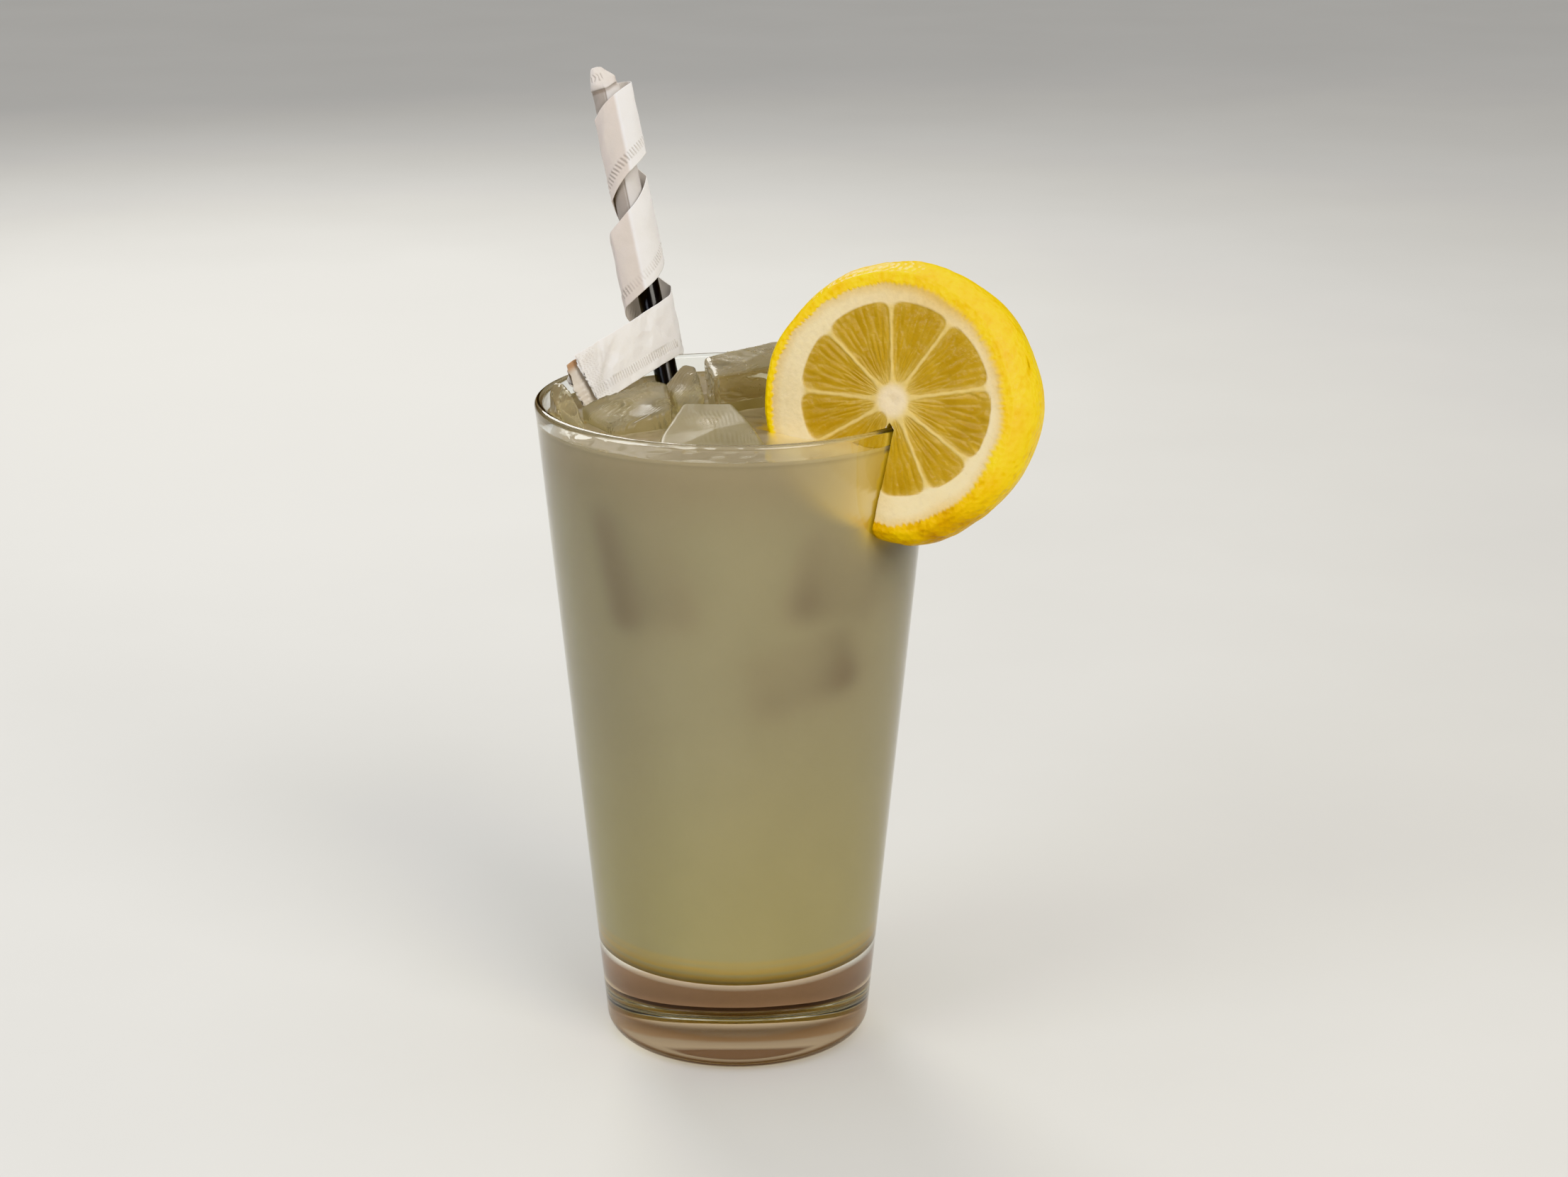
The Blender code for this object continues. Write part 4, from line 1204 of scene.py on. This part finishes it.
def drinkOutline():
    lift, level = -drink["intoGlass"], drink["level"]
    points = floorOutline(lift, 14)
    first = glass["floorCornerTop"]
    topAtWall = level + drink["meniscus"]
    rows = 130
    points += [(innerRadius(z) - lift, z) for z in np.linspace(first, topAtWall, rows)[1:]]
    edge = innerRadius(topAtWall) - lift
    inward = np.concatenate([np.linspace(0, 5, 14)[1:], np.linspace(5, edge, 60)[1:]])
    points += [(edge - w, level + drink["meniscus"] * math.exp(-w / drink["meniscusReach"])) for w in inward]
    return points


def nearness(points, shapes):
    # distance from each point to the nearest of some pieces, in mm
    triangles, corners, base = [], [], 0
    for shape in shapes:
        shape.data.calc_loop_triangles()
        corners.append(pointsOf(shape) / mm)
        count = len(shape.data.loop_triangles)
        faces = np.empty(count * 3, dtype=np.int32)
        shape.data.loop_triangles.foreach_get("vertices", faces)
        triangles.append(faces.reshape(-1, 3) + base)
        base += len(shape.data.vertices)
    tree = bvhtree.BVHTree.FromPolygons(np.vstack(corners).tolist(), np.vstack(triangles).tolist())
    return np.array([tree.find_nearest(Vector(point))[3] for point in points])


def shrunk(piece, by):
    setPoints(piece, pointsOf(piece) - normalsOf(piece) * by * mm)
    return piece


drinkPiece = turned("lemonade", drinkOutline(), drink["steps"], None)
for shape in iceShapes:
    cutAway(drinkPiece, shrunk(shape, drink["cavity"]), keep=True)
cutAway(drinkPiece, shrunk(mergedCopy("lemon_wheel", "shape_lemon"), 0.25))
core = np.array([[(r * math.cos(a), r * math.sin(a), z) for a in np.linspace(0, 2 * math.pi, 40, endpoint=False)]
                 for r, z in ((2.7, strawTop - straw["length"] - 0.2), (2.7, 30.0))])
cutAway(drinkPiece, shellOfRings("shape_straw", ontoStraw(core)))

points = pointsOf(drinkPiece) / mm
radius = np.hypot(points[:, 0], points[:, 1])
isTop = (points[:, 2] > drink["level"] - 0.3) & (radius < innerRadius(points[:, 2]) - 0.2)
ripple = 0.16 * smoothNoise(points, 3.0, 91) + 0.22 * smoothNoise(points, 8.0, 92)
points[:, 2] += np.where(isTop, ripple * smoothStep(0, 3, innerRadius(145.0) - radius), 0)
setPoints(drinkPiece, points * mm)

def lemonBehind(points):
    # the wheel's cut face as it shows from the front through the drink: its colour and its share
    own = (points - np.array(lemon["core"])) @ lemonFrame.T
    look = lemonFrame @ np.array(drink["lookIn"])
    depth = -own[:, 2] / look[2]
    spot = own + look * depth[:, None]
    colour = flesh(spot, np.ones(len(spot), dtype=bool))[0]
    turns = np.arctan2(spot[:, 1], spot[:, 0] - lemon["offset"])
    reach = np.hypot(spot[:, 0] - lemon["offset"], spot[:, 1] * lemon["halfWidth"] / lemon["halfHeight"])
    inside = smoothStep(-1, 1, (lemon["halfWidth"] * wheelOutline(turns) - reach) / (0.5 + 0.16 * np.abs(depth)))
    haze = np.clip(drink["lemonHazeShare"] + 0.06 * np.abs(depth), 0, 0.9)
    colour = between(colour, tone(drink["lemonHaze"]), haze)
    return colour, inside * np.exp(-(np.clip(depth, 0, 90) / drink["lemonFade"]) ** 1.5) * (own[:, 2] > -0.3)


iceAway = nearness(points, iceShapes + sunk)
lemonAway = nearness(points, [lemonPiece])
height = points[:, 2]
# tone by height: lighter and yellower low down, painted light where the lamps reach less; a little darker near the
# top
colour = between(tone(drink["low"]), tone(drink["middle"]), smoothStep(20, 95, height))
colour = between(colour, tone(drink["top"]), smoothStep(125, 146, height))
colour = between(colour, tone(drink["surface"]), isTop * 1.0)
# ice darkens the outer wall that it lies behind; the hollow round it is painted lighter, painted light let down
# through the ice
onWall = smoothStep(1.2, 0.4, innerRadius(height) - radius)
shade = 0.66 * np.exp(-(iceAway / drink["iceNear"]) ** 2) + 0.22 * np.exp(-iceAway / drink["iceFar"])
colour = between(colour, tone(drink["iceShade"]), shade * onWall)
colour = between(colour, tone(drink["hollowLit"]), 0.9 * np.exp(-(iceAway / 0.9) ** 2) * (1 - onWall))
# painted light: thin golden bands where the drink ends over the foot, for light that the foot refracts into it
footGlow = smoothStep(28.5, 25.5, height) * (0.45 + 0.35 * np.sin(height * 3.1 + smoothNoise(points, 9.0, 95)))
colour = between(colour, tone(drink["footGlowTone"]), footGlow * 0.75)
colour = between(colour, tone(lemon["peel"]), 0.55 * np.exp(-lemonAway / 1.6) * (height < drink["level"]))
lemonTone, share = lemonBehind(points)
colour = between(colour, lemonTone, share)
# painted shade: a dark line along the meniscus at the wall
meniscusLine = np.exp(-((height - drink["level"] - 0.45) / 0.32) ** 2) * (radius > innerRadius(height) - 0.5)
colour = between(colour, tone(drink["meniscusShade"]), 0.75 * meniscusLine)
setTone(drinkPiece, "tone", colour)
for shape in iceShapes:
    bpy.data.objects.remove(shape, do_unlink=True)

drinkPiece.data.materials.clear()
drinkPiece.data.materials.append(cloudyLemonade("cloudyLemonadeBehindGlass", {
    "Roughness": 0.7, "IOR": 1.34, "Specular IOR Level": 0.0}))
drinkPiece.data.materials.append(cloudyLemonade("cloudyLemonadeSurface", {
    "Roughness": 0.04, "IOR": 1.34, "Specular IOR Level": 0.35}))
drinkPiece.data.shade_smooth()
for face in drinkPiece.data.polygons:
    middle = face.center / mm
    open_ = middle.z > drink["level"] - 0.6 and math.hypot(middle.x, middle.y) < innerRadius(middle.z) - 0.1
    face.material_index = 1 if open_ and face.normal.z > 0.4 else 0
finish(drinkPiece, "lemonade", "drink")
print("drink:", len(drinkPiece.data.polygons), "faces")


# Bubbles: a Geometry Nodes tree that scatters beads, round the ice on the drink and in the back block's skin

bubbles = {
    # beads for each square metre, seed, smallest and largest radius in mm
    "onDrink": {"density": 90000.0, "seed": 5, "smallest": 0.22, "largest": 0.50},
    "onIce": {"density": 260000.0, "seed": 9, "smallest": 0.10, "largest": 0.22},
    "clearOf": 0.75, "gatherWithin": 2.6, "iceFrom": 149.0,
}


def buildScatter():
    tree = bpy.data.node_groups.new("scatterBeads", "GeometryNodeTree")
    for name, kind in (("Ground", "Geometry"), ("Density", "Float"), ("Seed", "Int"),
                       ("Smallest", "Float"), ("Largest", "Float"), ("Finish", "Material")):
        tree.interface.new_socket(name, in_out="INPUT", socket_type="NodeSocket" + kind)
    tree.interface.new_socket("Beads", in_out="OUTPUT", socket_type="NodeSocketGeometry")
    given = addNode(tree, "NodeGroupInput").outputs
    spots = addNode(tree, "GeometryNodeDistributePointsOnFaces", distribute_method="RANDOM", links={
        "Mesh": given["Ground"], "Density": given["Density"], "Seed": given["Seed"]})
    size = addNode(tree, "FunctionNodeRandomValue", data_type="FLOAT", links={
        2: given["Smallest"], 3: given["Largest"], "Seed": given["Seed"]})
    bead = addNode(tree, "GeometryNodeMeshIcoSphere", {"Radius": 1.0, "Subdivisions": 2})
    placed = addNode(tree, "GeometryNodeInstanceOnPoints", links={
        "Points": spots.outputs["Points"], "Instance": bead.outputs["Mesh"], "Scale": size.outputs[1]})
    real = addNode(tree, "GeometryNodeRealizeInstances", links={"Geometry": placed.outputs["Instances"]})
    done = addNode(tree, "GeometryNodeSetMaterial",
                   links={"Geometry": real.outputs["Geometry"], "Material": given["Finish"]})
    addNode(tree, "NodeGroupOutput", links={"Beads": done.outputs["Geometry"]})
    return tree


scatter = buildScatter()


def bubbleFilm():
    # thin film of water round air: clear and very smooth, a little yellow from the drink
    material, tree, shader = startMaterial("bubbleFilm", {
        "Base Color": linear("#F3ECD6"), "Roughness": 0.02, "IOR": 1.33, "Transmission Weight": 1.0})
    place = addNode(tree, "ShaderNodeTexCoord")
    swirl = addNode(tree, "ShaderNodeTexNoise", {"Scale": 1500.0}, {"Vector": place.outputs["Object"]})
    rough = addNode(tree, "ShaderNodeMapRange", {"To Min": 0.01, "To Max": 0.06},
                    {"Value": swirl.outputs["Fac"]})
    tree.links.new(rough.outputs["Result"], shader.inputs["Roughness"])
    letLampsThrough(tree, shader, "#F6F2E6")
    return material


def beadsOn(name, piece, chosen, work, material):
    # beads on those faces of a piece whose corners are all chosen
    faces = [tuple(face.vertices) for face in piece.data.polygons if all(chosen[i] for i in face.vertices)]
    mesh = bpy.data.meshes.new(name)
    mesh.from_pydata(pointsOf(piece).tolist(), [], faces)
    beads = bpy.data.objects.new(name, mesh)
    scene.collection.objects.link(beads)
    strew = beads.modifiers.new("scatter", "NODES")
    strew.node_group = scatter
    giveInputs(strew, Density=work["density"], Seed=work["seed"], Smallest=work["smallest"] * mm,
               Largest=work["largest"] * mm, Finish=material)
    return outward(baked(beads))


fromWall = innerRadius(height) - radius
nearIce = (iceAway > bubbles["clearOf"]) & (iceAway < bubbles["gatherWithin"])
nearWall = (fromWall > bubbles["clearOf"]) & (fromWall < bubbles["gatherWithin"])
gathered = isTop & (nearIce | nearWall) & (iceAway > bubbles["clearOf"]) & (lemonAway > bubbles["clearOf"])
film = bubbleFilm()
foam = beadsOn("surface_bubbles", drinkPiece, gathered, bubbles["onDrink"], film)
finish(foam, "lemonade")
iceBack = bpy.data.objects["ice_block_back"]
sparkles = beadsOn("ice_bubbles", iceBack, pointsOf(iceBack)[:, 2] > bubbles["iceFrom"] * mm,
                   bubbles["onIce"], film)
finish(sparkles, "ice")
print("bubbles:", len(foam.data.polygons) // 80, "on the drink,", len(sparkles.data.polygons) // 80, "in the ice")
